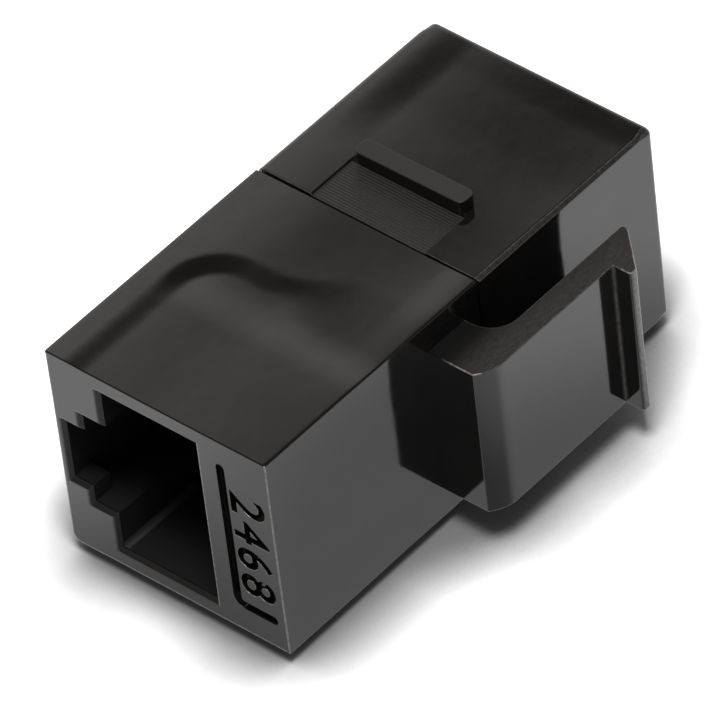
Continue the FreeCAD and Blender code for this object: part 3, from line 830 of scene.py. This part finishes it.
def fixed_lug(skin):
    """The rigid catch on the side away from the latch."""
    foot, top = -HALF_WIDTH + 0.35 * MM, front_low.x
    catch, land, ramp = -8.55 * MM, -7.65 * MM, -6.05 * MM
    corners = [(foot, catch, 0), (top, catch, 0.15 * MM), (top, land, 0.15 * MM),
               (-HALF_WIDTH, ramp, 0.3 * MM), (foot, ramp, 0)]
    half_width, edge = 4.5 * MM, 0.1 * MM
    prism(skin, Outline(corners[::-1], 4), half_width, (edge, edge), finish=GLOSS)


WIDENING = 1.3 * MM         # the stretch over which the long edges widen
EDGE_HIGHLIGHT = 0.10            # how far the long edges are painted paler, as highlight lines
BEND_HIGHLIGHT = 0.25            # and how much more where they meet the flank
SEAM_HIGHLIGHT = 0.3             # and along the seam


def front_skin(moulding):
    """The front half's surface.

    Its long edges widen to the panel corners' radius over the last stretch. The grip recess is
    lowered by its depth plus a triangle wave along Y that makes the ribs.
    """
    skin = Skin()
    y_seam = PANEL_Y - moulding.front_length
    face, seam = half_inside(skin, moulding, "front_housing", PANEL_Y, y_seam)
    grip_x, grip_end, lip = 4.15 * MM, -11.66 * MM, 0.03 * MM

    def flank_lines(low, high):
        return np.concatenate([
            [low], np.linspace(low + 2 * lip, -grip_x - lip, 20),
            np.linspace(-grip_x + lip, grip_x - lip, 44),
            np.linspace(grip_x + lip, high - 2 * lip, 20), [high]])

    edge = moulding.front_long_edge
    section, normals = body_lines((edge, edge, moulding.under_edge, edge), flank_lines)
    end_section, end_normals = body_lines((moulding.panel_corner,) * 4, flank_lines)
    seam_along, seam_inset = quarter(moulding.front_seam_edge, 8)
    fine = np.arange(y_seam + moulding.front_seam_edge, grip_end, moulding.rib_pitch / 6)[1:]
    coarse = np.linspace(grip_end, PANEL_Y - moulding.panel_edge, 60)[:-1]
    rows = np.concatenate([y_seam + seam_along, fine, coarse])
    seam_ease = 0.1 + 0.9 * smooth_step(np.abs(normals[:, 1]), 0.5, 0.9)
    insets = np.concatenate([seam_inset[:, None] * seam_ease,
                             np.zeros((len(fine) + len(coarse), len(section)))])
    grid = body_grid(section, normals, rows, insets)
    widening = smooth_step(rows, PANEL_Y - WIDENING, PANEL_Y - moulding.panel_edge)
    grid[..., [0, 2]] += widening[:, None, None] * (end_section - section)
    rim = rim_rows(end_section, end_normals, moulding.panel_edge, np.ones(len(section)), PANEL_Y, -1, 7)
    grid = np.concatenate([grid, rim[::-1]])
    rows = np.concatenate([rows, np.full(len(rim), PANEL_Y)])
    sink(grid, normals, moulding, front_waves)

    wave = np.abs(((rows - y_seam) / moulding.rib_pitch) % 1 * 2 - 1)
    ribs = moulding.rib_height * smooth_step(wave, 0.1, 0.9)
    slope = normals[:, 1]
    in_grip = ((rows < grip_end + EPS)[:, None]
               & ((np.abs(section[:, 0]) < grip_x) & (np.abs(slope) > 1 - EPS))[None])
    height = np.abs(grid[..., 2])
    floor = height - moulding.grip_depth - (moulding.rib_height - ribs)[:, None]
    grid[..., 2] = np.where(in_grip, np.sign(grid[..., 2]) * np.minimum(height, floor), grid[..., 2])

    # Painted highlight lines: the long edges, more where they meet the flank, and the seam's flank edge
    wear = np.where((slope > 0.1) & (slope < 0.99), EDGE_HIGHLIGHT, 0.0)
    wear = wear + np.where((slope > 0.97) & (slope < 0.99), BEND_HIGHLIGHT, 0)
    wear = np.broadcast_to(wear, grid.shape[:2]).copy()
    wear[1:len(seam_along) - 2] += np.where(slope > 0.97, SEAM_HIGHLIGHT, 0.0)
    ribbed = in_grip[1:]
    skin.strip(grid, finish=np.where(ribbed & np.roll(ribbed, -1, axis=1), GRIP, GLOSS), wear=wear)
    skin.cap(np.concatenate([ring_edges(grid[-1][:, [0, 2]]), face]), in_y_plane(PANEL_Y))
    skin.cap(np.concatenate([ring_edges(grid[0][:, [0, 2]]), seam]), in_y_plane(y_seam))
    stop_bar(skin, 1)
    stop_bar(skin, -1)
    fixed_lug(skin)
    return skin


# ---- Latch ----

def latch_outline(latch, moulding):
    """The latch in plan, counter-clockwise from its foot: root, arm, catch, ramp and inner side."""
    out = HALF_WIDTH + latch.reach
    inside = out - latch.thickness
    back = PANEL_Y - moulding.front_length - moulding.seam_gap - latch.root_setback
    front = back - latch.root_thickness
    foot = HALF_WIDTH - 0.35 * MM
    flat, run, bend = 0.75 * MM, 1.85 * MM, 1.75 * MM
    meet = run - ((flat ** 2 + run ** 2) / (2 * flat)) * flat / run
    tip = PANEL_Y - 5.70 * MM
    catch = PANEL_Y - latch.catch_depth
    lip = arm_high.x
    ramp_end = lip - (tip - catch - 0.30 * MM)
    wall = HALF_WIDTH - 0.01 * MM
    corners = [
        (foot, front - 0.25 * MM, 0), (wall, front - 0.25 * MM, 0), (wall, front, 0),
        (out - flat, front, 0.12 * MM), (out, front + meet, 2.45 * MM), (out, catch, 0.02 * MM),
        (lip, catch, 0.20 * MM), (lip, catch + 0.50 * MM, 0.20 * MM), (ramp_end, tip, 0.42 * MM),
        (inside, tip, 0.20 * MM), (inside, back, bend), (wall, back, 0),
        (wall, back + 0.25 * MM, 0), (foot, back + 0.25 * MM, 0),
    ]
    return Outline(corners, 12)


UNDER_EDGE = 0.08 * MM      # radius of the latch's edges away from its parting face
# Painted highlight lines on the latch's upper rim, catch lip and catch fold; some scuffs on the lip
ARM_HIGHLIGHT, LIP_WEAR_AND_HIGHLIGHT, FOLD_HIGHLIGHT = 0.3, 0.42, 0.35


def latch_skin(latch, moulding):
    """The latch's surface: its outline carried across the width."""
    skin = Skin()
    outline = latch_outline(latch, moulding)
    x, y = outline.at(0).T
    near = 0.05 * MM
    root = y < y.min() + 0.6 * MM
    catch = x > HALF_WIDTH + latch.reach + 0.5 * MM
    lip = x > arm_high.x - near
    fold = np.hypot(x - HALF_WIDTH - latch.reach, y - PANEL_Y + latch.catch_depth) < near
    # Highlight on the root and catch rims is painted only away from the wall, fading where it shades
    highlight_away_from_wall = smooth_step(x, HALF_WIDTH + 0.8 * MM, HALF_WIDTH + 2.2 * MM)
    prism(skin, outline, arm_high.z, (UNDER_EDGE, latch.edge),
          wear=np.where(root | catch, highlight_away_from_wall, ARM_HIGHLIGHT),
          side_wear_and_highlight=np.where(lip, LIP_WEAR_AND_HIGHLIGHT, np.where(fold, FOLD_HIGHLIGHT, 0.0)))
    return skin


# ---- Spring wires ----

REAR_PINS, FRONT_PINS = 4.96, 1.11       # X of the two rows of pins in the board
PIN_STAGGER = 0.635         # how far each pin is off its row
WIRE_RUN = 4.96             # X of the straight runs, outside a plug's room
WIRE_BENDS = [(WIRE_RUN, 13.26), (WIRE_RUN, 3.85), (3.46, 3.85), (0.95, 10.40), (1.35, 11.50)]
WIRE_RADII = [0, 0.2, 0.2, 0.70, 0.70, 0.45, 0]


def wire_path(moulding, number, rear_end):
    """A spring's middle line in (x, depth), seen from its own socket, with its bends softened."""
    slot = number if rear_end else 9 - number
    row = REAR_PINS if rear_end else FRONT_PINS
    pin = row + (PIN_STAGGER if slot % 2 else -PIN_STAGGER)
    points = np.array([(pin, 17.45), (pin, 14.80)] + WIRE_BENDS) * MM
    radii = np.array(WIRE_RADII) * MM
    return soften(points, radii, 10, closed=False), (4.5 - slot) * moulding.contact_pitch


def wire_skin(moulding, number, rear_end):
    """A flat wire: a rounded rectangle carried along the path, square to it."""
    path, z = wire_path(moulding, number, rear_end)
    side = np.diff(path, axis=0)
    side /= np.linalg.norm(side, axis=1, keepdims=True)
    ahead = np.concatenate([side, side[-1:]])
    behind = np.concatenate([side[:1], side])
    mitre = np.stack([-(ahead + behind)[:, 1], (ahead + behind)[:, 0]], axis=1)
    mitre /= (1 + (ahead * behind).sum(axis=1, keepdims=True))
    thick, wide = 0.15 * MM, 0.21 * MM
    ring = soften([(thick, wide), (-thick, wide), (-thick, -wide), (thick, -wide)], 0.05 * MM, 3)
    flat = path[:, None] + ring[None, :, :1] * mitre[:, None]
    end, inwards = (REAR_Y, 1) if rear_end else (PANEL_Y, -1)
    across = np.broadcast_to(z + ring[None, :, 1], flat.shape[:2])
    grid = np.stack([flat[..., 0], end + inwards * flat[..., 1], across], axis=-1)
    skin = Skin()
    skin.strip(grid)
    skin.close(grid)
    return skin


# ---- Finishes ----

GREY_FROM, GREY_TO = 0.3, 0.7   # where most of a noise's values lie
PLASTIC_IOR = 1.5
# The paler, rougher finish painted on edges and rims: painted highlight lines, partly scuffs
SCUFF_AND_HIGHLIGHT_COLOUR, SCUFF_AND_HIGHLIGHT_ROUGH = (0.24, 0.225, 0.21), 0.42
WARM_PATCH = (1.5, 1.42, 1.36)  # the gloss's colour in its warm patches, as shares of its own
WAVE_DEPTH = 0.25e-6            # unit of the waves left by the mould's polish


def feed(tree, node, inputs):
    """Gives inputs, by name or number, a constant or the output to link to them."""
    for name, value in inputs.items():
        if isinstance(value, bpy.types.NodeSocket):
            tree.links.new(value, node.inputs[name])
        else:
            node.inputs[name].default_value = value


def add(tree, kind, inputs, out=0, **options):
    """Adds a node with these options and inputs, and returns one of its outputs."""
    node = tree.nodes.new(kind)
    for name, value in options.items():
        setattr(node, name, value)
    feed(tree, node, inputs)
    return node.outputs[out]


def calc(tree, operation, *values, clamp=False):
    """A Math node on outputs and numbers."""
    return add(tree, "ShaderNodeMath", dict(enumerate(values)), operation=operation, use_clamp=clamp)


def ramp(tree, value, start, end, low=0.0, high=1.0, curve="SMOOTHSTEP"):
    """Maps start..end to low..high, and keeps within them."""
    return add(tree, "ShaderNodeMapRange",
               {"Value": value, "From Min": start, "From Max": end, "To Min": low, "To Max": high},
               "Result", interpolation_type=curve)


def span(tree, factor, low, high):
    """Maps most of a noise's values to low..high."""
    return ramp(tree, factor, GREY_FROM, GREY_TO, low, high, "LINEAR")


def noise(tree, place, size, detail=2.0, rough=0.5, stretch=None):
    """Noise whose features are about size across, stretched along axes by the factors given."""
    if stretch:
        place = add(tree, "ShaderNodeMapping", {"Vector": place, "Scale": stretch}, "Vector")
    inputs = {"Vector": place, "Scale": 1 / size, "Detail": detail, "Roughness": rough}
    return add(tree, "ShaderNodeTexNoise", inputs, "Fac")


def tints(tree, factor, first, second):
    """Mixes two colours, each an output or (red, green, blue), by a factor."""
    ends = [c if isinstance(c, bpy.types.NodeSocket) else (*c, 1) for c in (first, second)]
    inputs = {"Factor": factor, "A": ends[0], "B": ends[1]}
    return add(tree, "ShaderNodeMix", inputs, "Result", data_type="RGBA")


def bump(tree, height, depth, under=None):
    """A bump of this depth, on top of the normal under it."""
    inputs = {"Height": height, "Distance": depth}
    if under:
        inputs["Normal"] = under
    return add(tree, "ShaderNodeBump", inputs, "Normal")


def axis(tree, place, name):
    """One coordinate of a place."""
    return add(tree, "ShaderNodeSeparateXYZ", {"Vector": place}, name)


def choose(tree, factor, first, second):
    """The first shader where the factor is 0, and the second where it is 1."""
    return add(tree, "ShaderNodeMixShader", {"Fac": factor, 1: first, 2: second})


def scaled(base, share):
    """A colour with each channel times a share."""
    return [channel * share for channel in base]


def material(name):
    """A new node material: its tree, its shader and its Object coordinates."""
    made = bpy.data.materials.new(name)
    made.use_nodes = True
    tree = made.node_tree
    shader = tree.nodes["Principled BSDF"]
    return made, tree, shader, add(tree, "ShaderNodeTexCoord", {}, "Object")


def gloss_black(name, base):
    """Glossy plastic: uneven gloss, warm patches, waves, fine grain, edges painted pale as highlights and
    scuffs.
    """
    made, tree, shader, place = material(name)
    patches = noise(tree, place, 2.2 * MM, 3.0)
    warm = [min(1, channel * share) for channel, share in zip(base, WARM_PATCH)]
    tone = tints(tree, span(tree, patches, 0, 1), base, warm)
    gloss = span(tree, noise(tree, place, 0.9 * MM, 4.0, 0.6), 0.06, 0.10)
    ragged = span(tree, noise(tree, place, 0.25 * MM, 3.0, 0.65), 0.3, 1.15)
    # Where the mesh's share is set, the colour is painted paler and duller: highlight lines, partly scuffs
    wear = add(tree, "ShaderNodeAttribute", {}, "Fac", attribute_name="wear")
    scuff_and_highlight = calc(tree, "MULTIPLY", wear, ragged, clamp=True)
    duller = add(tree, "ShaderNodeMix", {"Factor": scuff_and_highlight, "A": gloss, "B": SCUFF_AND_HIGHLIGHT_ROUGH}, "Result")
    broad = bump(tree, noise(tree, place, 1.6 * MM, 1.0), WAVE_DEPTH * 8)
    feed(tree, shader, {
        "IOR": PLASTIC_IOR,
        "Base Color": tints(tree, scuff_and_highlight, tone, SCUFF_AND_HIGHLIGHT_COLOUR),
        "Roughness": duller,
        "Normal": bump(tree, noise(tree, place, 0.12 * MM, 3.0, 0.6), WAVE_DEPTH * 3.2, broad),
    })
    return made


def parting_black(name, base):
    """The latch's parting face: duller and grainy, with fine striations that run along the arm.

    The grain is 0.55 streaks + 0.45 specks. It pales the arm away from its root; the dark by the wall is
    painted shade.
    """
    made, tree, shader, place = material(name)
    streaks = noise(tree, place, 0.13 * MM, 3.0, 0.65, stretch=(1.0, 0.22, 1.0))
    specks = noise(tree, place, 0.10 * MM, 2.0, 0.6)
    grain = calc(tree, "MULTIPLY_ADD", streaks, 0.55, calc(tree, "MULTIPLY", specks, 0.45))
    # Painted shade: the face stays dark next to the housing's wall, which shades it, and pales outwards
    outwards = ramp(tree, axis(tree, place, "X"), HALF_WIDTH + 0.8 * MM, HALF_WIDTH + 3.6 * MM)
    paler = calc(tree, "MULTIPLY", span(tree, grain, 0, 1), outwards)
    feed(tree, shader, {
        "IOR": PLASTIC_IOR,
        "Specular IOR Level": 0.24,
        "Base Color": tints(tree, paler, base, scaled(base, 7.5)),
        "Roughness": span(tree, grain, 0.52, 0.36),
        "Normal": bump(tree, grain, 9e-6),
    })
    return made


def grained(name, base, grain, shares, rough, depth, others=None):
    """A finish whose colour, roughness and bump all follow one noise.

    grain holds the noise's size, detail, roughness and stretch. shares of the base colour and rough
    are the values at its two ends, depth is the bump's, and others are further shader inputs.
    """
    made, tree, shader, place = material(name)
    factor = noise(tree, place, *grain)
    feed(tree, shader, {
        "Base Color": tints(tree, span(tree, factor, 0, 1), *(scaled(base, share) for share in shares)),
        "Roughness": span(tree, factor, *rough),
        "Normal": bump(tree, factor, depth),
        **(others or {}),
    })
    return made


def grainy_black(name, base):
    """The grip ribs and the tops of the stop ridges: even, grainy and a little paler."""
    return grained(name, base, (0.09 * MM, 3.0, 0.7), (2.2, 6.5), (0.45, 0.34), 4e-6,
                   {"Specular IOR Level": 0.3})


def satin_plastic(name, base, others=None):
    """Satin insulator plastic with a fine sparked grain."""
    return grained(name, base, (0.11 * MM, 4.0, 0.65), (1, 1.4), (0.38, 0.52), 5e-6, others)


def dull_plastic(name, base):
    """Satin plastic that reflects little: the walls inside the sockets."""
    return satin_plastic(name, base, {"Specular IOR Level": 0.2})


def plated_gold(name, base):
    """Gold plating with drawing marks along the wire."""
    return grained(name, base, (0.08 * MM, 3.0, 0.6, (1.0, 0.1, 1.0)), (1, 0.86), (0.16, 0.28), 1.2e-6,
                   {"Metallic": 1.0})


def solder_mask(name, base):
    """Green solder mask over the weave of the board."""
    return grained(name, base, (0.35 * MM, 3.0, 0.6), (1, 0.7), (0.28, 0.4), 4e-6)


def finish(name, maker, base):
    """The material of this name, made once."""
    return bpy.data.materials.get(name) or maker(name, list(base))


def housing_finishes(colours):
    """The finishes of a half: gloss, matt inside, grip, and socket corners painted paler as a highlight.
    """
    return [finish("housing_gloss", gloss_black, colours.black),
            finish("socket_matt", dull_plastic, colours.inside),
            finish("grip_grain", grainy_black, colours.black),
            finish("socket_corner", satin_plastic, colours.corner)]


def dress(node, made):
    """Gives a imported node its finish."""
    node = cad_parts[node]
    node.data.materials.clear()
    node.data.materials.append(made)


# ---- Operators ----

class BuildRearHalf(bpy.types.Operator):
    """Build the rear half with its socket mouth, groove and contact numbers"""
    bl_idname = "coupler.rear_half"
    bl_label = "Rear half"

    def execute(self, context):
        settings = context.scene
        finishes = housing_finishes(settings.coupler_finish)
        piece = rear_skin(settings.coupler_moulding).weld("rear_half", finishes)
        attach(piece, HOUSING_BODY)
        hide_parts("rear_housing")
        return {"FINISHED"}


class BuildFrontHalf(bpy.types.Operator):
    """Build the front half with its stop ridges, grip ribs, fixed lug and socket mouth"""
    bl_idname = "coupler.front_half"
    bl_label = "Front half"

    def execute(self, context):
        settings = context.scene
        finishes = housing_finishes(settings.coupler_finish)
        piece = front_skin(settings.coupler_moulding).weld("front_half", finishes)
        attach(piece, HOUSING_BODY)
        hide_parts("front_housing")
        return {"FINISHED"}


class BuildLatch(bpy.types.Operator):
    """Build the spring latch as one skin, curving from its root at the housing into the arm"""
    bl_idname = "coupler.latch"
    bl_label = "Spring latch"

    def execute(self, context):
        settings = context.scene
        base = settings.coupler_finish.black
        made = [finish("housing_gloss", gloss_black, base), finish("latch_parting", parting_black, base)]
        piece = latch_skin(settings.coupler_latch, settings.coupler_moulding).weld("spring_latch", made)
        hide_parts("latch_arm")
        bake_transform(piece)
        return {"FINISHED"}


class BuildContacts(bpy.types.Operator):
    """Build the eight gold-plated springs of each socket"""
    bl_idname = "coupler.contacts"
    bl_label = "Contact springs"

    def execute(self, context):
        settings = context.scene
        gold = finish("contact_gold", plated_gold, settings.coupler_finish.gold)
        for end in ("rear", "front"):
            for number in range(1, 9):
                skin = wire_skin(settings.coupler_moulding, number, end == "rear")
                piece = skin.weld("%s_spring_%d" % (end, number), [gold])
                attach(piece, HOUSING_BODY)
                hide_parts("%s_contact_%d" % (end, number))
        return {"FINISHED"}


class FinishInside(bpy.types.Operator):
    """Give the contact blocks and the circuit board their finishes"""
    bl_idname = "coupler.inside"
    bl_label = "Blocks and board"

    def execute(self, context):
        colours = context.scene.coupler_finish
        satin = finish("insulator_satin", satin_plastic, colours.satin)
        for node in ("rear_contact_block", "front_contact_block"):
            dress(node, satin)
        dress("circuit_board", finish("board_mask", solder_mask, colours.board))
        return {"FINISHED"}


# ---- Stage ----

KEY_POWER, KEY_SIZE, KEY_PLACE = 1.80, 0.14, (0.105, -0.125, 0.455)
KEY_AIM = (0.001, -0.018, 0)
DAYLIGHT = 0.30             # how strongly the surroundings light matt surfaces
BACKDROP = 1.45             # how bright the backdrop is in reflections
BEHIND = 0.25               # the share of that on the camera's side
FLOOR_REACH = 3.0           # half the width of the floor
FLOOR_GAIN = 1.9            # how much paler the floor looks than it lights
FLOOR_PATCH = 0.995         # the floor's tone in its darker patches, as a share of the rest
CONTACT_REACH, CONTACT_POWER = 5.6 * MM, 2.9     # how far and how much the floor darkens near the part
CONTACT_LEAST = 0.5         # the openness below which it darkens no more
THROUGH = 0.42              # how much of the floor's reflections is the light that comes through it
POOL = (0.85, 1.55)         # how bright reflections of the floor are, near the part and away from it
POOL_FROM, POOL_TO = 16 * MM, 27 * MM            # the distances from its middle where these begin
DIM_REAR = 0.68             # the share left of them behind the rear face, on the latch side
DIM_FROM, DIM_TO = -12 * MM, -2 * MM             # the X over which that share comes in
# Directions: half of rightwards, away from the camera, and out past the latch side
LEAN, AWAY, LATCH_SIDE = (0.3536, 0.3536, 0), (-0.7071, 0.7071, 0), (0.9397, -0.3420, 0)
LEAN_MOST = 0.05
# (height of a direction, share of the backdrop's brightness): white walls under a dark ceiling
ROOM = [(0.0, 0.70), (0.35, 0.70), (0.60, 1.0), (0.655, 1.0), (0.660, 0.86), (0.664, 0.69),
        (0.668, 0.58), (0.678, 0.48), (0.685, 0.345), (0.692, 0.235), (0.70, 0.14), (0.715, 0.055),
        (0.80, 0.035), (0.90, 0.11), (1.0, 0.15)]
WARMTH = (1.0, 0.948, 0.905)
WHITE = (1.0, 1.0, 1.0, 1.0)

CAMERA_PLACE = (0.270137, -0.285541, 0.351928)
CAMERA_AIM = (0.001024, -0.018102, -0.000433)
CAMERA_ROLL = -7.195        # degrees
CAMERA_SENSOR, CAMERA_LENS = 36.0, 464.96        # millimetres


def floor_card(base, level):
    """The floor's finish: a card that darkens round the part and lets reflections through.

    Its contact shade is max(openness, CONTACT_LEAST) ** CONTACT_POWER. Glossy rays go through it and
    pick up a glow of pool (1 + behind across) - THROUGH, where pool grows with the distance from the
    part's middle, behind is 1 past the rear face, and across falls to DIM_REAR - 1 along X.
    """
    made, tree, shader, place = material("floor_card")
    rays = tree.nodes.new("ShaderNodeLightPath").outputs
    pale = scaled(base, FLOOR_GAIN)
    tone = tints(tree, noise(tree, place, 0.05), pale, scaled(pale, FLOOR_PATCH))
    openness = add(tree, "ShaderNodeAmbientOcclusion", {"Distance": CONTACT_REACH}, "AO", samples=16)
    shade_near = calc(tree, "POWER", calc(tree, "MAXIMUM", openness, CONTACT_LEAST), CONTACT_POWER)
    dimmed = add(tree, "ShaderNodeVectorMath", {"Vector": tone, "Scale": shade_near}, "Vector",
                 operation="SCALE")
    seen = tints(tree, rays["Is Camera Ray"], base, dimmed)
    card = add(tree, "ShaderNodeBsdfDiffuse", {"Color": seen})

    middle = (0, (REAR_Y + PANEL_Y) / 2, level)
    distance = add(tree, "ShaderNodeVectorMath", {0: place, 1: middle}, "Value", operation="DISTANCE")
    pool = ramp(tree, distance, POOL_FROM, POOL_TO, *POOL)
    across = ramp(tree, axis(tree, place, "X"), DIM_FROM, DIM_TO, 0.0, DIM_REAR - 1)
    behind = calc(tree, "LESS_THAN", axis(tree, place, "Y"), REAR_Y)
    dulled = calc(tree, "MULTIPLY_ADD", across, behind, 1.0)
    strength = calc(tree, "MULTIPLY_ADD", pool, dulled, -THROUGH)
    glow = add(tree, "ShaderNodeEmission", {"Strength": strength})
    sheet = add(tree, "ShaderNodeAddShader", {0: glow, 1: add(tree, "ShaderNodeBsdfTransparent", {})})
    feed(tree, tree.nodes["Material Output"],
         {"Surface": choose(tree, rays["Is Glossy Ray"], card, sheet)})
    tree.nodes.remove(shader)
    return made


class BuildStage(bpy.types.Operator):
    """Set up the pale floor, the soft lamp, the surroundings and the camera"""
    bl_idname = "coupler.stage"
    bl_label = "Stage"

    def execute(self, context):
        scene = context.scene
        scene.view_settings.view_transform = "Standard"
        self.floor(scene)
        self.surroundings(scene)
        self.lamp(scene)
        self.camera(scene)
        return {"FINISHED"}

    def floor(self, scene):
        """A wide pale plane that touches the lowest point of the part."""
        corners = FLOOR_REACH * np.array([(-1, -1), (1, -1), (1, 1), (-1, 1)])
        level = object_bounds()[0][2]
        mesh = bpy.data.meshes.new("floor")
        mesh.from_pydata(in_z_plane(level)(corners).tolist(), [], [(0, 1, 2, 3)])
        floor = bpy.data.objects.new("floor", mesh)
        scene.collection.objects.link(floor)
        mesh.materials.append(floor_card(list(scene.coupler_finish.floor), level))
        floor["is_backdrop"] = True

    def surroundings(self, scene):
        """Even soft light for matt surfaces, and for reflections a white room with a dark ceiling.

        The room's brightness depends on t = z + 0.5 (x + y) / sqrt(2) of the direction, with the
        second part kept within LEAN_MOST, and falls on the camera's side. Below the floor, which lets
        reflections through, it is even, but dark off the latch side.
        """
        world = bpy.data.worlds.new("surroundings")
        scene.world = world
        world.use_nodes = True
        tree = world.node_tree
        direction = add(tree, "ShaderNodeTexCoord", {}, "Generated")
        rays = tree.nodes.new("ShaderNodeLightPath").outputs

        def along(way):
            return add(tree, "ShaderNodeVectorMath", {0: direction, 1: way}, "Value",
                       operation="DOT_PRODUCT")

        def background(colour, strength):
            return add(tree, "ShaderNodeBackground", {"Color": colour, "Strength": strength})

        up = along((0, 0, 1))
        lean = add(tree, "ShaderNodeClamp", {"Value": along(LEAN), "Min": -LEAN_MOST, "Max": LEAN_MOST})
        room = tree.nodes.new("ShaderNodeValToRGB")
        feed(tree, room, {"Fac": calc(tree, "ADD", up, lean)})
        stops = room.color_ramp.elements
        for i, (place, share) in enumerate(ROOM):
            stop = stops[i] if i < 2 else stops.new(place)
            stop.position = place
            stop.color = (*(share * c for c in WARMTH), 1)
        walls = ramp(tree, along(AWAY), -0.1, 0.5, BACKDROP * BEHIND, BACKDROP)
        gap = ramp(tree, along(LATCH_SIDE), 0.45, 0.62, THROUGH, 0.0)
        mirrored = choose(tree, calc(tree, "GREATER_THAN", up, 0.0),
                          background(WHITE, gap), background(room.outputs["Color"], walls))
        lit = choose(tree, rays["Is Glossy Ray"], background(WHITE, DAYLIGHT), mirrored)
        seen = choose(tree, rays["Is Camera Ray"], lit, background(WHITE, 1.0))
        tree.nodes.remove(tree.nodes["Background"])
        feed(tree, tree.nodes["World Output"], {"Surface": seen})

    def lamp(self, scene):
        """A square soft lamp, pointed at the part."""
        data = bpy.data.lights.new("key_softbox", "AREA")
        data.energy = KEY_POWER
        data.size = KEY_SIZE
        lamp = bpy.data.objects.new("key_softbox", data)
        lamp.location = KEY_PLACE
        lamp.rotation_euler = (Vector(KEY_AIM) - Vector(KEY_PLACE)).to_track_quat("-Z", "Y").to_euler()
        scene.collection.objects.link(lamp)

    def camera(self, scene):
        """A long lens from above the rear latch-side corner, rolled a little."""
        place = Vector(CAMERA_PLACE)
        data = bpy.data.cameras.new("camera")
        data.sensor_width = CAMERA_SENSOR
        data.lens = CAMERA_LENS
        data.clip_start = 0.01
        data.clip_end = 20.0
        camera = bpy.data.objects.new("camera", data)
        level = (Vector(CAMERA_AIM) - place).to_track_quat("-Z", "Y").to_matrix().to_4x4()
        roll = Matrix.Rotation(math.radians(CAMERA_ROLL), 4, "Z")
        camera.matrix_world = Matrix.Translation(place) @ level @ roll
        scene.collection.objects.link(camera)
        scene.camera = camera


# ---- Panel and registration ----

class CouplerPanel(bpy.types.Panel):
    """Lists the coupler's pieces and settings"""
    bl_idname = "VIEW3D_PT_coupler"
    bl_label = "Coupler"
    bl_space_type = "VIEW_3D"
    bl_region_type = "UI"
    bl_category = "Coupler"

    def draw(self, context):
        for operator in OPERATORS:
            self.layout.operator(operator.bl_idname)
        for group in SETTINGS:
            settings = getattr(context.scene, group)
            for name in type(settings).__annotations__:
                self.layout.prop(settings, name)


SETTINGS = {
    "coupler_moulding": CouplerMoulding,
    "coupler_latch": CouplerLatch,
    "coupler_finish": CouplerFinish,
}
OPERATORS = (BuildRearHalf, BuildFrontHalf, BuildLatch, BuildContacts, FinishInside, BuildStage)


def register():
    for group in (*SETTINGS.values(), *OPERATORS, CouplerPanel):
        bpy.utils.register_class(group)
    for name, group in SETTINGS.items():
        setattr(bpy.types.Scene, name, PointerProperty(type=group))


def unregister():
    for name in SETTINGS:
        delattr(bpy.types.Scene, name)
    for group in (CouplerPanel, *OPERATORS, *SETTINGS.values()):
        bpy.utils.unregister_class(group)


def main():
    """Register everything and build the pieces in order."""
    register()
    bpy.ops.coupler.rear_half()
    bpy.ops.coupler.front_half()
    bpy.ops.coupler.latch()
    bpy.ops.coupler.contacts()
    bpy.ops.coupler.inside()
    bpy.ops.coupler.stage()


if __name__ == "__main__":
    main()
